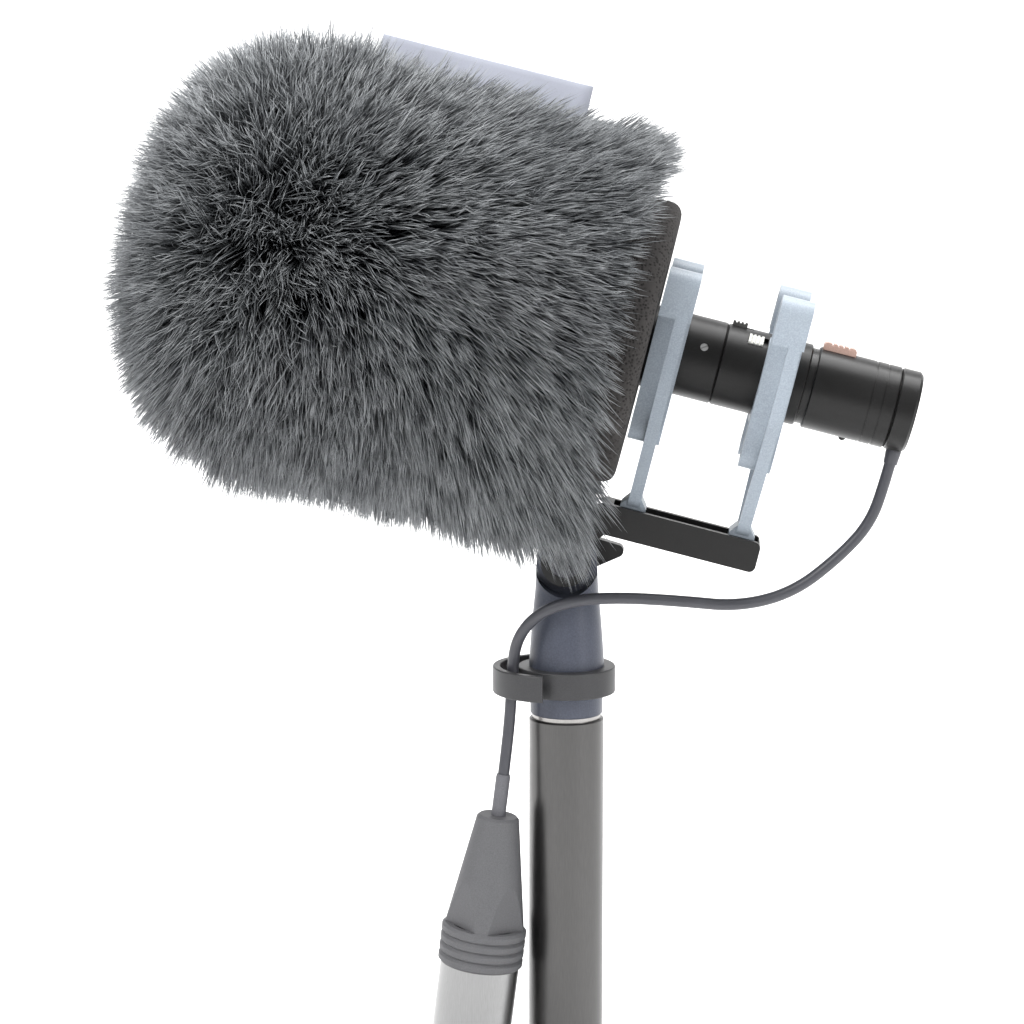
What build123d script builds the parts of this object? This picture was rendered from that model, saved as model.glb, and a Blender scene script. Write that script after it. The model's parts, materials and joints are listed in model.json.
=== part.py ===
from build123d import *

import os
from math import atan2, cos, degrees, pi, radians, sin, tan

# A furry windscreen on its microphone, with the springy suspension, the tilting swivel and the
# end of the pole that carry it. Millimetres, +Z up. The origin is the mouth of the threaded
# socket in the foot of the pole, and the windscreen points to -X.

os.makedirs("parts", exist_ok=True)

# ---- driving dimensions ------------------------------------------------------------------

FIT = 0.05  # radial clearance of a running fit

# pole end
POLE_TOP = 105.0  # the face the adaptor stands on
POLE_R = 8.75
POLE_WALL = 1.25
POLE_PLUG_LEN = 20.0  # threaded plug in each end of the pole tube
POLE_GROOVE_R = 8.0
POLE_GROOVE = 1.0  # height of the narrow neck under the adaptor
THREAD_R = 4.7  # 3/8 inch thread, drawn as a plain cylinder
THREAD_LEN = 14.0

# adaptor and swivel
ADAPTOR_LEN = 43.5  # foot to the top of the ear
ADAPTOR_FOOT_R = 8.5
ADAPTOR_WAIST_R = 8.8
ADAPTOR_NECK_R = 7.4
FOOT_H, WAIST_H, NECK_H = 4.4, 11.4, 29.0  # heights above the foot
INSERT_R = 6.2
INSERT_LEN = 16.0
PIVOT_H = 36.5  # swivel axis above the adaptor's foot
EAR_R = 7.0
CUP_R = 8.0  # the rounded shoulder round the swivel disc
EAR_NEAR, EAR_FAR = -0.5, 6.5  # the ear's two flats, across the pole
WASHER = 1.0
DISC_R = 5.7
BOLT_R = 2.45
BOLT_HEAD_R = 3.6
BOLT_HEAD = 2.0
LEVER_LEN = 11.4
LEVER_TIP_R = 1.5
LEVER_THICK = 4.2
LEVER_HUB_R = 5.4
NUT_R = 3.7  # across the corners of the hexagon

# cable clip
CLIP_LOW, CLIP_HIGH = 5.1, 11.3
CLIP_COLLAR_R = 11.4
CLIP_HOOK_R = 14.35
CLIP_HOOK_X = CLIP_COLLAR_R - CLIP_HOOK_R
CLIP_HOOK_WALL = 1.75
CLIP_MOUTH_X = -4.7

# head: measured from the centre of the foam's rear face, along the microphone and up from it
TILT = 14.0  # nose-up angle of the microphone
PIVOT_A, PIVOT_N = -6.0, -52.9

# windscreen
FOAM_R = 33.0
FOAM_LEN = 104.0
FOAM_NOSE_R = 19.0
FOAM_RIM_R = 3.0
RING_LEN = 12.0
FUR_R = 57.0
FUR_TIP = 128.5  # front of the pile, ahead of the foam's rear face
FUR_NOSE = 43.0  # length of the domed front
FUR_CORNER_R = 36.0  # rounding between the domed front and the sides
FUR_WIDEST = 62.0  # where the pile starts to narrow towards the rear
FUR_TAIL, FUR_TAIL_R = 11.0, 41.5
FUR_FLANK = (-33.0, 51.9)  # a place half way along the narrowing stretch
HEM_START, HEM_LEN, HEM_THICK = 0.6, 3.0, 1.6  # the start is behind the foam ring's front
FLAG_FRONT, FLAG_REAR = -76.0, -26.6
FLAG_TOP = 53.9
FLAG_THICK = 0.8

# microphone
MIC_R = 9.5
MIC_WALL = 1.1
MIC_NOSE = -78.0
GRILLE_END = -68.0
GRILLE_WALL, NOSE_THICK = 0.9, 1.0
GRILLE_SLOTS, GRILLE_SLOT_LONG, GRILLE_SLOT_WIDE = 12, 5.5, 1.4
NOSE_SLOTS, NOSE_SLOT_LONG, NOSE_SLOT_WIDE, NOSE_SLOT_PITCH = 5, 11.0, 1.2, 2.4
CAPSULE_R, CAPSULE_START, HOLDER_START, HOLDER_END = 7.2, 1.8, 2.4, 1.5  # from the grille's ends
MIC_SEAM = 16.7
MIC_END = 36.6
SOCKET_R = 7.9
SPIGOT = 3.5
EDGE = 0.3  # small chamfer beside each seam
PIN_R = 1.1
PIN_CIRCLE_R = 4.5
PIN_TIP_CHAMFER = 0.35
PIN_INSERT_START, PIN_INSERT_LEN, PIN_LEN = 20.5, 3.5, 9.5
SLIDER_WIDE = 2.8
SLIDER_LEN = 3.4
SLIDER_GAP = 0.15  # from each slider to the near end of its pocket
FILTER_TRAVEL, PAD_TRAVEL = 1.5, 1.0
RIDGE, RIDGE_CUT = 0.45, 0.35  # serrations on the sliders
FILTER_TOP, PAD_TOP = 10.5, 9.9
SLIDER_FLOOR = 8.5  # radius of the sliders' pocket floors
BOARD_WIDE, BOARD_THICK = 15.0, 1.2
BOARD_START, BOARD_END = -40.0, 11.0
BOARD_COMPONENTS = ((-30, 11), (-12, 7), (0, 9))  # place and length of the largest ones
COMPONENT_HIGH, COMPONENT_WIDE = 3.0, 7.0
SCREW_A, SCREW_ANGLE, SCREW_R = 12.4, 22.0, 0.9
PAD_ANGLE = 54.0

# angled connector
PLUG_NOSE = 26.0
SHELL_START, SHELL_END = 38.2, 57.5
CAP_START, CAP_END = 57.7, 62.5
WIRE_R = 4.5
WIRE_START = 48.0
LATCH_FRONT, LATCH_REAR = 38.8, 46.4
LATCH_WIDE = 4.4
LATCH_TOP, LATCH_BOTTOM = 10.9, 7.4
LATCH_TRAVEL = 1.2  # room under the button
LEAF_HALF, LEAF_THICK, LEAF_WIDE = 3.0, 0.3, 2.4
EXIT_A = 60.4
CONTACT_GAP = 0.1  # round each pin in the contact block
GROOVES, GROOVE_WIDE, GROOVE_DEEP = (51.5, 54.2), 0.4, 0.2
NUB_A, NUB_R = 48.2, 0.9
CAP_ROUND, CAP_WALL, CAP_LIP = 0.7, 1.4, 3.0
NOTCHES, NOTCH_PITCH, NOTCH_WIDE, NOTCH_DEEP = 4, 1.3, 0.5, 0.45

# suspension
LYRE_PLACES = {"lyre_front": 4.3, "lyre_rear": 30.1}
LYRE_DEEP = 7.4
LYRE_ARM_DEEP = 2.9
LYRE_ARM_SHIFT = 1.6  # the arms and the foot sit behind the middle of the body
LYRE_STRIP = 1.8
# outlines of one side, across and up from the microphone's axis
LYRE_BODY = ((20.6, 9), (20.4, 19), (13.4, 19), (13.4, -19.6), (7.6, -19.6), (7.6, -7.6))
FOLD_R = 2.6  # rounding of the body's folds
LYRE_ARM, LYRE_ARM_ROUND = ((20.6, 10), (21.6, -6), (7, -31), (3, -36.5)), (12, 5)
CLASP_MOUTH = ((0, 0), (-12, 18), (12, 18))
CLASP_WALL = 1.5
BAR_FRONT, BAR_REAR = -1.0, 36.5
BAR_TOP, BAR_BOTTOM = -37.2, -44.3
BAR_HALF = 6.0
CHANNEL_HALF = 4.0
CHANNEL_FLOOR = -42.0
ARM_NEAR, ARM_THICK = 6.0, 4.5
FOOT_LEN = 6.0
FOOT_HIGH, FOOT_SLOPE = 0.6, 2.0  # above the bar: the straight sides, then the sloped ones
FOOT_SCREW_R = 1.25

# cable and its plug
CABLE_R = 1.35
GROMMET_R = 1.8
GROMMET_TOP, GROMMET_END = -8.2, -12.6
SLEEVE_R = 1.7
SLEEVE_LEN = 9.8
SLEEVE_LIP, SLEEVE_TAPER = 0.2, 0.8
PLUG_LEAN = 7.0
PLUG_TOP = (-15.5, -6.5, -23.4)  # from the adaptor's foot
CABLE_IN_PLUG = 10.0
BOOT_LEN = 26.6
BOOT_TOP_R, BOOT_END_R = 5.0, 9.3
BOOT_BORE_TOP_R, BOOT_BORE_END_R = 4.2, 6.8
BOOT_BORE_START = 13.0
BOOT_FLAT = 7.5  # distance of the grip flats from the plug's axis
COLLAR_R = 10.0
COLLAR_END = 36.0
PLUG_SHELL_R, PLUG_BORE_R = 9.3, 7.9
PLUG_LEN = 73.0
COLLAR_RIDGES = 4
RIDGE_DEEP = 0.6
PIN_BASE, PIN_TIP = 57.0, 70.0
INSERT_THICK = 12.0

# ---- planes and axes ---------------------------------------------------------------------

along = Vector(cos(radians(TILT)), 0, -sin(radians(TILT)))  # rearwards along the microphone
up = Vector(sin(radians(TILT)), 0, cos(radians(TILT)))
pivot = Vector(0, 0, POLE_TOP + PIVOT_H)
head_centre = pivot - along * PIVOT_A - up * PIVOT_N
toward_viewer = (0, -1, 0)

side = Plane(origin=head_centre, x_dir=along, z_dir=toward_viewer)
mic_axis = Axis(head_centre, along)
pole_side = Plane(origin=(0, 0, POLE_TOP), x_dir=(1, 0, 0), z_dir=toward_viewer)
pole_axis = Axis.Z
plug_way = Vector(-sin(radians(PLUG_LEAN)), 0, -cos(radians(PLUG_LEAN)))
plug_centre = Vector(*PLUG_TOP) + Vector(0, 0, POLE_TOP)
plug_side = Plane(origin=plug_centre, x_dir=plug_way, z_dir=toward_viewer)
plug_axis = Axis(plug_centre, plug_way)


def across(a):
    """The plane square to the microphone at a, with x across it and y up it."""
    return Plane(origin=head_centre + along * a, x_dir=(0, 1, 0), z_dir=along)


def radial(a, angle):
    """A plane on the microphone's axis facing outwards, angle degrees above the near side."""
    way = Vector(0, -1, 0) * cos(radians(angle)) + up * sin(radians(angle))
    return Plane(origin=head_centre + along * a, x_dir=along, z_dir=way)


def head_point(a, n):
    """A point on the middle plane of the head, a along the microphone and n up from it."""
    return head_centre + along * a + up * n


def turn(outline, plane=side, axis=mic_axis, mode=Mode.ADD):
    """Turns a half outline, given as (along, radius), about an axis."""
    with BuildSketch(plane) as profile:
        with BuildLine():
            Polyline(*outline, close=True)
        make_face()
    revolve(profile.sketch, axis=axis, mode=mode)


# ---- windscreen --------------------------------------------------------------------------

bore_r = MIC_R + FIT
bore_end = MIC_NOSE - 1.0
foam_shoulder = FOAM_NOSE_R - FOAM_LEN

with BuildPart() as foam_core:
    with BuildSketch(side):
        with BuildLine():
            Polyline(
                (foam_shoulder, FOAM_R),
                (-RING_LEN, FOAM_R),
                (-RING_LEN, bore_r),
                (bore_end, bore_r),
                (bore_end, 0),
                (-FOAM_LEN, 0),
                (-FOAM_LEN, FOAM_R - FOAM_NOSE_R),
            )
            CenterArc((foam_shoulder, FOAM_R - FOAM_NOSE_R), FOAM_NOSE_R, 90, 90)
        make_face()
    revolve(axis=mic_axis)
foam_core.part.label = "foam_core"
export_step(foam_core.part, "parts/foam_core.step")

with BuildPart() as foam_rear_ring:
    with BuildSketch(side):
        with BuildLine():
            Polyline(
                (-FOAM_RIM_R, FOAM_R),
                (-RING_LEN, FOAM_R),
                (-RING_LEN, bore_r),
                (0, bore_r),
                (0, FOAM_R - FOAM_RIM_R),
            )
            CenterArc((-FOAM_RIM_R, FOAM_R - FOAM_RIM_R), FOAM_RIM_R, 0, 90)
        make_face()
    revolve(axis=mic_axis)
foam_rear_ring.part.label = "foam_rear_ring"
export_step(foam_rear_ring.part, "parts/foam_rear_ring.step")

# The domed front is one flat arc centred on the axis, tangent to the corner's arc.
corner_a = FUR_TIP - FUR_NOSE
corner_n = FUR_R - FUR_CORNER_R
reach = FUR_TIP - FUR_CORNER_R
dome_a = (reach**2 - corner_a**2 - corner_n**2) / (2 * (reach - corner_a))
dome_turn = degrees(atan2(corner_n, corner_a - dome_a))

with BuildPart() as fur_cover:
    with BuildSketch(side):
        with BuildLine():
            ThreePointArc((-FUR_TAIL, FUR_TAIL_R), FUR_FLANK, (-FUR_WIDEST, FUR_R))
            Line((-FUR_WIDEST, FUR_R), (-corner_a, FUR_R))
            CenterArc((-corner_a, corner_n), FUR_CORNER_R, 90, 90 - dome_turn)
            CenterArc((-dome_a, 0), FUR_TIP - dome_a, 180 - dome_turn, dome_turn)
            Polyline((-FUR_TIP, 0), (-FOAM_LEN, 0), (-FOAM_LEN, FOAM_R - FOAM_NOSE_R))
            CenterArc((foam_shoulder, FOAM_R - FOAM_NOSE_R), FOAM_NOSE_R, 90, 90)
            Polyline(
                (foam_shoulder, FOAM_R), (-RING_LEN, FOAM_R), (-FUR_TAIL, FUR_TAIL_R)
            )
        make_face()
    revolve(axis=mic_axis)
    # the slit in the seam that the flag stands in
    with BuildSketch(side):
        with Locations(((FLAG_FRONT + FLAG_REAR) / 2, (FOAM_R + FUR_R) / 2)):
            Rectangle(FLAG_REAR - FLAG_FRONT, FUR_R - FOAM_R + 2)
    extrude(amount=FLAG_THICK / 2, both=True, mode=Mode.SUBTRACT)
fur_cover.part.label = "fur_cover"
export_step(fur_cover.part, "parts/fur_cover.step")

with BuildPart() as rear_hem:
    turn(
        [
            (-RING_LEN + HEM_START, FOAM_R),
            (-RING_LEN + HEM_LEN, FOAM_R),
            (-RING_LEN + HEM_LEN, FOAM_R + HEM_THICK),
            (-RING_LEN + HEM_START, FOAM_R + HEM_THICK),
        ]
    )
rear_hem.part.label = "rear_hem"
export_step(rear_hem.part, "parts/rear_hem.step")

with BuildPart() as label_flag:
    with BuildSketch(side):
        with Locations(((FLAG_FRONT + FLAG_REAR) / 2, (FOAM_R + FLAG_TOP) / 2)):
            Rectangle(FLAG_REAR - FLAG_FRONT, FLAG_TOP - FOAM_R)
    extrude(amount=FLAG_THICK / 2, both=True)
label_flag.part.label = "label_flag"
export_step(label_flag.part, "parts/label_flag.step")

# ---- microphone --------------------------------------------------------------------------

tube_inner = MIC_R - MIC_WALL
grille_inner = MIC_R - GRILLE_WALL

with BuildPart(across((MIC_NOSE + GRILLE_END) / 2)) as mic_grille:
    turn(
        [
            (MIC_NOSE, 0),
            (MIC_NOSE, MIC_R - NOSE_THICK),
            (MIC_NOSE + NOSE_THICK, MIC_R),
            (GRILLE_END, MIC_R),
            (GRILLE_END, grille_inner),
            (MIC_NOSE + NOSE_THICK, grille_inner),
            (MIC_NOSE + NOSE_THICK, 0),
        ]
    )
    with PolarLocations(MIC_R, GRILLE_SLOTS):
        Box(3 * GRILLE_WALL, GRILLE_SLOT_WIDE, GRILLE_SLOT_LONG, mode=Mode.SUBTRACT)
    with BuildSketch(across(MIC_NOSE)):
        with GridLocations(0, NOSE_SLOT_PITCH, 1, NOSE_SLOTS):
            SlotOverall(NOSE_SLOT_LONG, NOSE_SLOT_WIDE)
    extrude(amount=NOSE_THICK, mode=Mode.SUBTRACT)
mic_grille.part.label = "mic_grille"
export_step(mic_grille.part, "parts/mic_grille.step")

with BuildPart() as mic_capsule:
    turn(
        [
            (MIC_NOSE + CAPSULE_START, 0),
            (MIC_NOSE + CAPSULE_START, CAPSULE_R),
            (MIC_NOSE + HOLDER_START, CAPSULE_R),
            (MIC_NOSE + HOLDER_START, grille_inner),
            (GRILLE_END - HOLDER_END, grille_inner),
            (GRILLE_END - HOLDER_END, 0),
        ]
    )
mic_capsule.part.label = "mic_capsule"
export_step(mic_capsule.part, "parts/mic_capsule.step")

with BuildPart() as mic_front_tube:
    turn(
        [
            (GRILLE_END, tube_inner),
            (GRILLE_END, MIC_R),
            (MIC_SEAM - EDGE, MIC_R),
            (MIC_SEAM, MIC_R - EDGE),
            (MIC_SEAM, tube_inner),
        ]
    )
    with BuildSketch(radial(SCREW_A, SCREW_ANGLE).offset(tube_inner - 1)):
        Circle(SCREW_R)
    extrude(amount=MIC_WALL + 2, mode=Mode.SUBTRACT)
mic_front_tube.part.label = "mic_front_tube"
export_step(mic_front_tube.part, "parts/mic_front_tube.step")

with BuildPart() as mic_screw:
    with BuildSketch(radial(SCREW_A, SCREW_ANGLE).offset(tube_inner + FIT)):
        Circle(SCREW_R)
    extrude(amount=MIC_WALL - 4 * FIT)
    with BuildSketch(radial(SCREW_A, SCREW_ANGLE).offset(MIC_R - 0.6)):
        Rectangle(2 * SCREW_R, 0.3, rotation=35)
    extrude(amount=1, mode=Mode.SUBTRACT)
mic_screw.part.label = "mic_screw"
export_step(mic_screw.part, "parts/mic_screw.step")

with BuildPart() as mic_board:
    with BuildSketch(side):
        with Locations(((BOARD_START + BOARD_END) / 2, 0)):
            Rectangle(BOARD_END - BOARD_START, BOARD_THICK)
    extrude(amount=BOARD_WIDE / 2, both=True)
    # transformer and the largest components
    with BuildSketch(side):
        for at, long in BOARD_COMPONENTS:
            with Locations((at, (BOARD_THICK + COMPONENT_HIGH) / 2)):
                Rectangle(long, COMPONENT_HIGH)
    extrude(amount=COMPONENT_WIDE / 2, both=True)
mic_board.part.label = "mic_board"
export_step(mic_board.part, "parts/mic_board.step")

filter_start = MIC_SEAM + 0.6
pad_start = MIC_SEAM + 4.9
filter_pocket = (filter_start, filter_start + SLIDER_LEN + FILTER_TRAVEL + 0.4)
pad_pocket = (pad_start, pad_start + SLIDER_LEN + PAD_TRAVEL + 0.3)

with BuildPart() as mic_rear_tube:
    turn(
        [
            (MIC_SEAM - SPIGOT, SOCKET_R),
            (MIC_SEAM - SPIGOT, tube_inner),
            (MIC_SEAM, tube_inner),
            (MIC_SEAM, MIC_R - EDGE),
            (MIC_SEAM + EDGE, MIC_R),
            (MIC_END - EDGE, MIC_R),
            (MIC_END, MIC_R - EDGE),
            (MIC_END, SOCKET_R),
        ]
    )
    for (start, end), angle in ((filter_pocket, 90), (pad_pocket, PAD_ANGLE)):
        with BuildSketch(radial((start + end) / 2, angle).offset(SLIDER_FLOOR)):
            Rectangle(end - start, SLIDER_WIDE + 0.2)
        extrude(amount=MIC_R, mode=Mode.SUBTRACT)
mic_rear_tube.part.label = "mic_rear_tube"
export_step(mic_rear_tube.part, "parts/mic_rear_tube.step")

for name, pocket, angle, top in (
    ("filter_slider", filter_pocket, 90, FILTER_TOP),
    ("pad_slider", pad_pocket, PAD_ANGLE, PAD_TOP),
):
    middle = pocket[0] + SLIDER_GAP + SLIDER_LEN / 2
    with BuildPart() as slider:
        with BuildSketch(radial(middle, angle).offset(SLIDER_FLOOR)):
            Rectangle(SLIDER_LEN, SLIDER_WIDE)
        extrude(amount=top - SLIDER_FLOOR)
        # serrations across the top
        with BuildSketch(radial(middle, angle).offset(top)):
            with GridLocations(2 * RIDGE, 0, 3, 1):
                Rectangle(RIDGE, SLIDER_WIDE)
        extrude(amount=-RIDGE_CUT, mode=Mode.SUBTRACT)
    slider.part.label = name
    export_step(slider.part, f"parts/{name}.step")

with BuildPart() as mic_pin_insert:
    with BuildSketch(across(PIN_INSERT_START)):
        Circle(SOCKET_R)
    extrude(amount=PIN_INSERT_LEN)
    with BuildSketch(across(PIN_INSERT_START + PIN_INSERT_LEN)):
        with PolarLocations(PIN_CIRCLE_R, 3, start_angle=90):
            Circle(PIN_R)
    extrude(amount=PIN_LEN)
    chamfer(mic_pin_insert.faces().sort_by(mic_axis)[-3:].edges(), PIN_TIP_CHAMFER)
mic_pin_insert.part.label = "mic_pin_insert"
export_step(mic_pin_insert.part, "parts/mic_pin_insert.step")

# ---- angled connector --------------------------------------------------------------------

nose_r = SOCKET_R - 0.15
insert_r = nose_r - 0.8
cap_bore_r = 8.0
spring_floor = LATCH_BOTTOM - LATCH_TRAVEL - EDGE  # foot of the pocket under the latch

with BuildPart() as connector_shell:
    turn(
        [
            (PLUG_NOSE, insert_r),
            (PLUG_NOSE, nose_r),
            (MIC_END + 0.1, nose_r),
            (MIC_END + 0.1, MIC_R - 0.7),
            (SHELL_START, MIC_R - 0.7),
            (SHELL_START, MIC_R - EDGE),
            (SHELL_START + EDGE, MIC_R),
            (SHELL_END - EDGE, MIC_R),
            (SHELL_END, MIC_R - EDGE),
            (SHELL_END, cap_bore_r),
            (WIRE_START, cap_bore_r),
            (WIRE_START, WIRE_R),
            (SHELL_START, WIRE_R),
            (SHELL_START, insert_r),
        ]
    )
    for at in GROOVES:
        turn(
            [
                (at, MIC_R - GROOVE_DEEP), (at, MIC_R + EDGE), (at + GROOVE_WIDE, MIC_R + EDGE),
                (at + GROOVE_WIDE, MIC_R - GROOVE_DEEP),
            ],
            mode=Mode.SUBTRACT,
        )
    # pocket of the latch button
    with BuildSketch(radial((LATCH_FRONT + LATCH_REAR) / 2, 90).offset(spring_floor)):
        Rectangle(LATCH_REAR - LATCH_FRONT + 0.3, LATCH_WIDE + 0.3)
    extrude(amount=MIC_R, mode=Mode.SUBTRACT)
    # locating nub on the underside
    with Locations(Location(head_point(NUB_A, -MIC_R + 0.2))):
        Sphere(NUB_R)
connector_shell.part.label = "connector_shell"
export_step(connector_shell.part, "parts/connector_shell.step")

with BuildPart() as connector_insert:
    with BuildSketch(across(PLUG_NOSE + 0.5)):
        Circle(insert_r)
        with PolarLocations(PIN_CIRCLE_R, 3, start_angle=90):
            Circle(PIN_R + CONTACT_GAP, mode=Mode.SUBTRACT)
    extrude(amount=SHELL_START - PLUG_NOSE - 0.5)
connector_insert.part.label = "connector_insert"
export_step(connector_insert.part, "parts/connector_insert.step")

exit_plane = Plane(origin=head_point(EXIT_A, 0), x_dir=along, z_dir=-up)

with BuildPart() as connector_end_ring:
    turn(
        [
            (CAP_START, cap_bore_r),
            (CAP_START, MIC_R - EDGE),
            (CAP_START + EDGE, MIC_R),
            (CAP_END - CAP_ROUND, MIC_R),
            (CAP_END, MIC_R - CAP_ROUND),
            (CAP_END, 0),
            (CAP_END - CAP_WALL, 0),
            (CAP_END - CAP_WALL, cap_bore_r - 1),
            (SHELL_END - CAP_LIP, cap_bore_r - 1),
            (SHELL_END - CAP_LIP, cap_bore_r),
        ]
    )
    with BuildSketch(exit_plane.offset(cap_bore_r - 2)):
        Circle(GROMMET_R)
    extrude(amount=6, mode=Mode.SUBTRACT)
connector_end_ring.part.label = "connector_end_ring"
export_step(connector_end_ring.part, "parts/connector_end_ring.step")

with BuildPart() as latch_button:
    with BuildSketch(radial((LATCH_FRONT + LATCH_REAR) / 2, 90).offset(LATCH_BOTTOM)):
        Rectangle(LATCH_REAR - LATCH_FRONT, LATCH_WIDE)
    extrude(amount=LATCH_TOP - LATCH_BOTTOM)
    fillet(
        latch_button.edges()
        .filter_by(Axis.Y)
        .sort_by(Axis(head_centre, up))[-2:],
        0.8,
    )
    # grip notches across the top
    with BuildSketch(side):
        with Locations((LATCH_FRONT + 3.9, LATCH_TOP)):
            with GridLocations(NOTCH_PITCH, 0, NOTCHES, 1):
                Rectangle(NOTCH_WIDE, 2 * NOTCH_DEEP)
    extrude(amount=LATCH_WIDE, both=True, mode=Mode.SUBTRACT)
latch_button.part.label = "latch_button"
export_step(latch_button.part, "parts/latch_button.step")

leaf_middle = (LATCH_FRONT + LATCH_REAR) / 2
leaf_top = LATCH_BOTTOM - FIT
with BuildPart() as latch_spring:
    with BuildSketch(side):
        # a bowed leaf: the outer arc, less the inner one
        for high, half, mode in (
            (leaf_top, LEAF_HALF, Mode.ADD),
            (leaf_top - LEAF_THICK, LEAF_HALF - LEAF_THICK, Mode.SUBTRACT),
        ):
            with BuildLine():
                feet = ((leaf_middle - half, spring_floor), (leaf_middle + half, spring_floor))
                ThreePointArc(feet[0], (leaf_middle, high), feet[1])
                Line(*feet)
            make_face(mode=mode)
    extrude(amount=LEAF_WIDE / 2, both=True)
latch_spring.part.label = "latch_spring"
export_step(latch_spring.part, "parts/latch_spring.step")

with BuildPart() as cable_grommet:
    grommet_side = Plane(origin=exit_plane.origin, x_dir=-up, z_dir=toward_viewer)
    turn(
        [
            (-GROMMET_TOP, CABLE_R + FIT),
            (-GROMMET_TOP, GROMMET_R),
            (MIC_R + 0.5, GROMMET_R),
            (-GROMMET_END, CABLE_R + 0.25),
            (-GROMMET_END, CABLE_R + FIT),
        ],
        plane=grommet_side,
        axis=Axis(exit_plane.origin, -up),
    )
cable_grommet.part.label = "cable_grommet"
export_step(cable_grommet.part, "parts/cable_grommet.step")

# ---- suspension --------------------------------------------------------------------------

clasp_in = MIC_R + FIT
clasp_out = clasp_in + CLASP_WALL

for name, place in LYRE_PLACES.items():
    foot = place + LYRE_ARM_SHIFT
    with BuildPart() as lyre:
        # the clasp round the microphone, open at the top, and the folded strips beside it
        with BuildSketch(across(place)):
            with BuildLine():
                FilletPolyline(*LYRE_BODY, radius=FOLD_R)
            trace(line_width=LYRE_STRIP)
            mirror(about=Plane.YZ)
            Circle(clasp_out)
            Circle(clasp_in, mode=Mode.SUBTRACT)
            with BuildLine():
                Polyline(*CLASP_MOUTH, close=True)
            make_face(mode=Mode.SUBTRACT)
        extrude(amount=LYRE_DEEP / 2, both=True)
        # the thin outer arms down to the foot
        with BuildSketch(across(foot)):
            with BuildLine():
                FilletPolyline(*LYRE_ARM, radius=LYRE_ARM_ROUND)
            trace(line_width=LYRE_STRIP)
            mirror(about=Plane.YZ)
        extrude(amount=LYRE_ARM_DEEP / 2, both=True)
        # the foot in the bar's channel
        with BuildSketch(side):
            with BuildLine():
                Polyline(
                    (foot - FOOT_LEN / 2, CHANNEL_FLOOR),
                    (foot + FOOT_LEN / 2, CHANNEL_FLOOR),
                    (foot + FOOT_LEN / 2, BAR_TOP + FOOT_HIGH),
                    (foot + LYRE_ARM_DEEP / 2, BAR_TOP + FOOT_HIGH + FOOT_SLOPE),
                    (foot - LYRE_ARM_DEEP / 2, BAR_TOP + FOOT_HIGH + FOOT_SLOPE),
                    (foot - FOOT_LEN / 2, BAR_TOP + FOOT_HIGH),
                    close=True,
                )
            make_face()
        extrude(amount=CHANNEL_HALF, both=True)
        with BuildSketch(Plane(origin=head_point(foot, CHANNEL_FLOOR), x_dir=along, z_dir=up)):
            Circle(FOOT_SCREW_R)
        extrude(amount=4, mode=Mode.SUBTRACT)
    lyre.part.label = name
    export_step(lyre.part, f"parts/{name}.step")

with BuildPart() as mounting_bar:
    with BuildSketch(side):
        with BuildLine():
            Polyline(
                (BAR_FRONT, BAR_TOP), (BAR_REAR, BAR_TOP), (BAR_REAR, BAR_BOTTOM),
                (BAR_FRONT, BAR_BOTTOM), close=True,
            )
        make_face()
    extrude(amount=BAR_HALF, both=True)
    fillet(mounting_bar.edges().filter_by(Axis.Y).sort_by(mic_axis)[-2:], 1.5)
    with BuildSketch(side):
        with Locations(((BAR_FRONT + BAR_REAR) / 2 + 0.9, (BAR_TOP + CHANNEL_FLOOR) / 2)):
            Rectangle(BAR_REAR - BAR_FRONT - 3, BAR_TOP - CHANNEL_FLOOR)
    extrude(amount=CHANNEL_HALF, both=True, mode=Mode.SUBTRACT)
    # the arm that curves down to the swivel disc
    with BuildSketch(side.offset(ARM_NEAR - ARM_THICK)):
        with BuildLine():
            Line((1, BAR_TOP), (1, BAR_BOTTOM))
            ThreePointArc((1, BAR_BOTTOM), (-0.7, -47.6), (PIVOT_A + DISC_R - 0.5, PIVOT_N))
            Line((PIVOT_A + DISC_R - 0.5, PIVOT_N), (PIVOT_A - DISC_R, PIVOT_N))
            ThreePointArc((PIVOT_A - DISC_R, PIVOT_N), (-8.2, -43.0), (1, BAR_TOP))
        make_face()
        with Locations((PIVOT_A, PIVOT_N)):
            Circle(DISC_R)
            Circle(BOLT_R + FIT, mode=Mode.SUBTRACT)
    extrude(amount=ARM_THICK)
    with BuildSketch(side.offset(ARM_NEAR)):
        with Locations((PIVOT_A, PIVOT_N)):
            Circle(BOLT_HEAD_R + 0.15)
    extrude(amount=-1, mode=Mode.SUBTRACT)
    # screw holes under the lyre feet, with room for the heads
    for place in LYRE_PLACES.values():
        seat = Plane(
            origin=head_point(place + LYRE_ARM_SHIFT, BAR_BOTTOM), x_dir=along, z_dir=up
        )
        with BuildSketch(seat):
            Circle(2 * FOOT_SCREW_R)
        extrude(amount=1.2, mode=Mode.SUBTRACT)
        with BuildSketch(seat):
            Circle(FOOT_SCREW_R)
        extrude(amount=4, mode=Mode.SUBTRACT)
mounting_bar.part.label = "mounting_bar"
export_step(mounting_bar.part, "parts/mounting_bar.step")

with BuildPart() as foot_screws:
    for place in LYRE_PLACES.values():
        seat = Plane(
            origin=head_point(place + LYRE_ARM_SHIFT, BAR_BOTTOM + 0.1), x_dir=along, z_dir=up
        )
        with BuildSketch(seat):
            Circle(2 * FOOT_SCREW_R - FIT)
        extrude(amount=1.1)
        with BuildSketch(seat):
            Circle(FOOT_SCREW_R)
        extrude(amount=5.5)
        with BuildSketch(seat):
            RegularPolygon(1.1, 6)
        extrude(amount=0.8, mode=Mode.SUBTRACT)
foot_screws.part.label = "foot_screws"
export_step(foot_screws.part, "parts/foot_screws.step")

# ---- swivel ------------------------------------------------------------------------------

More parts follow.
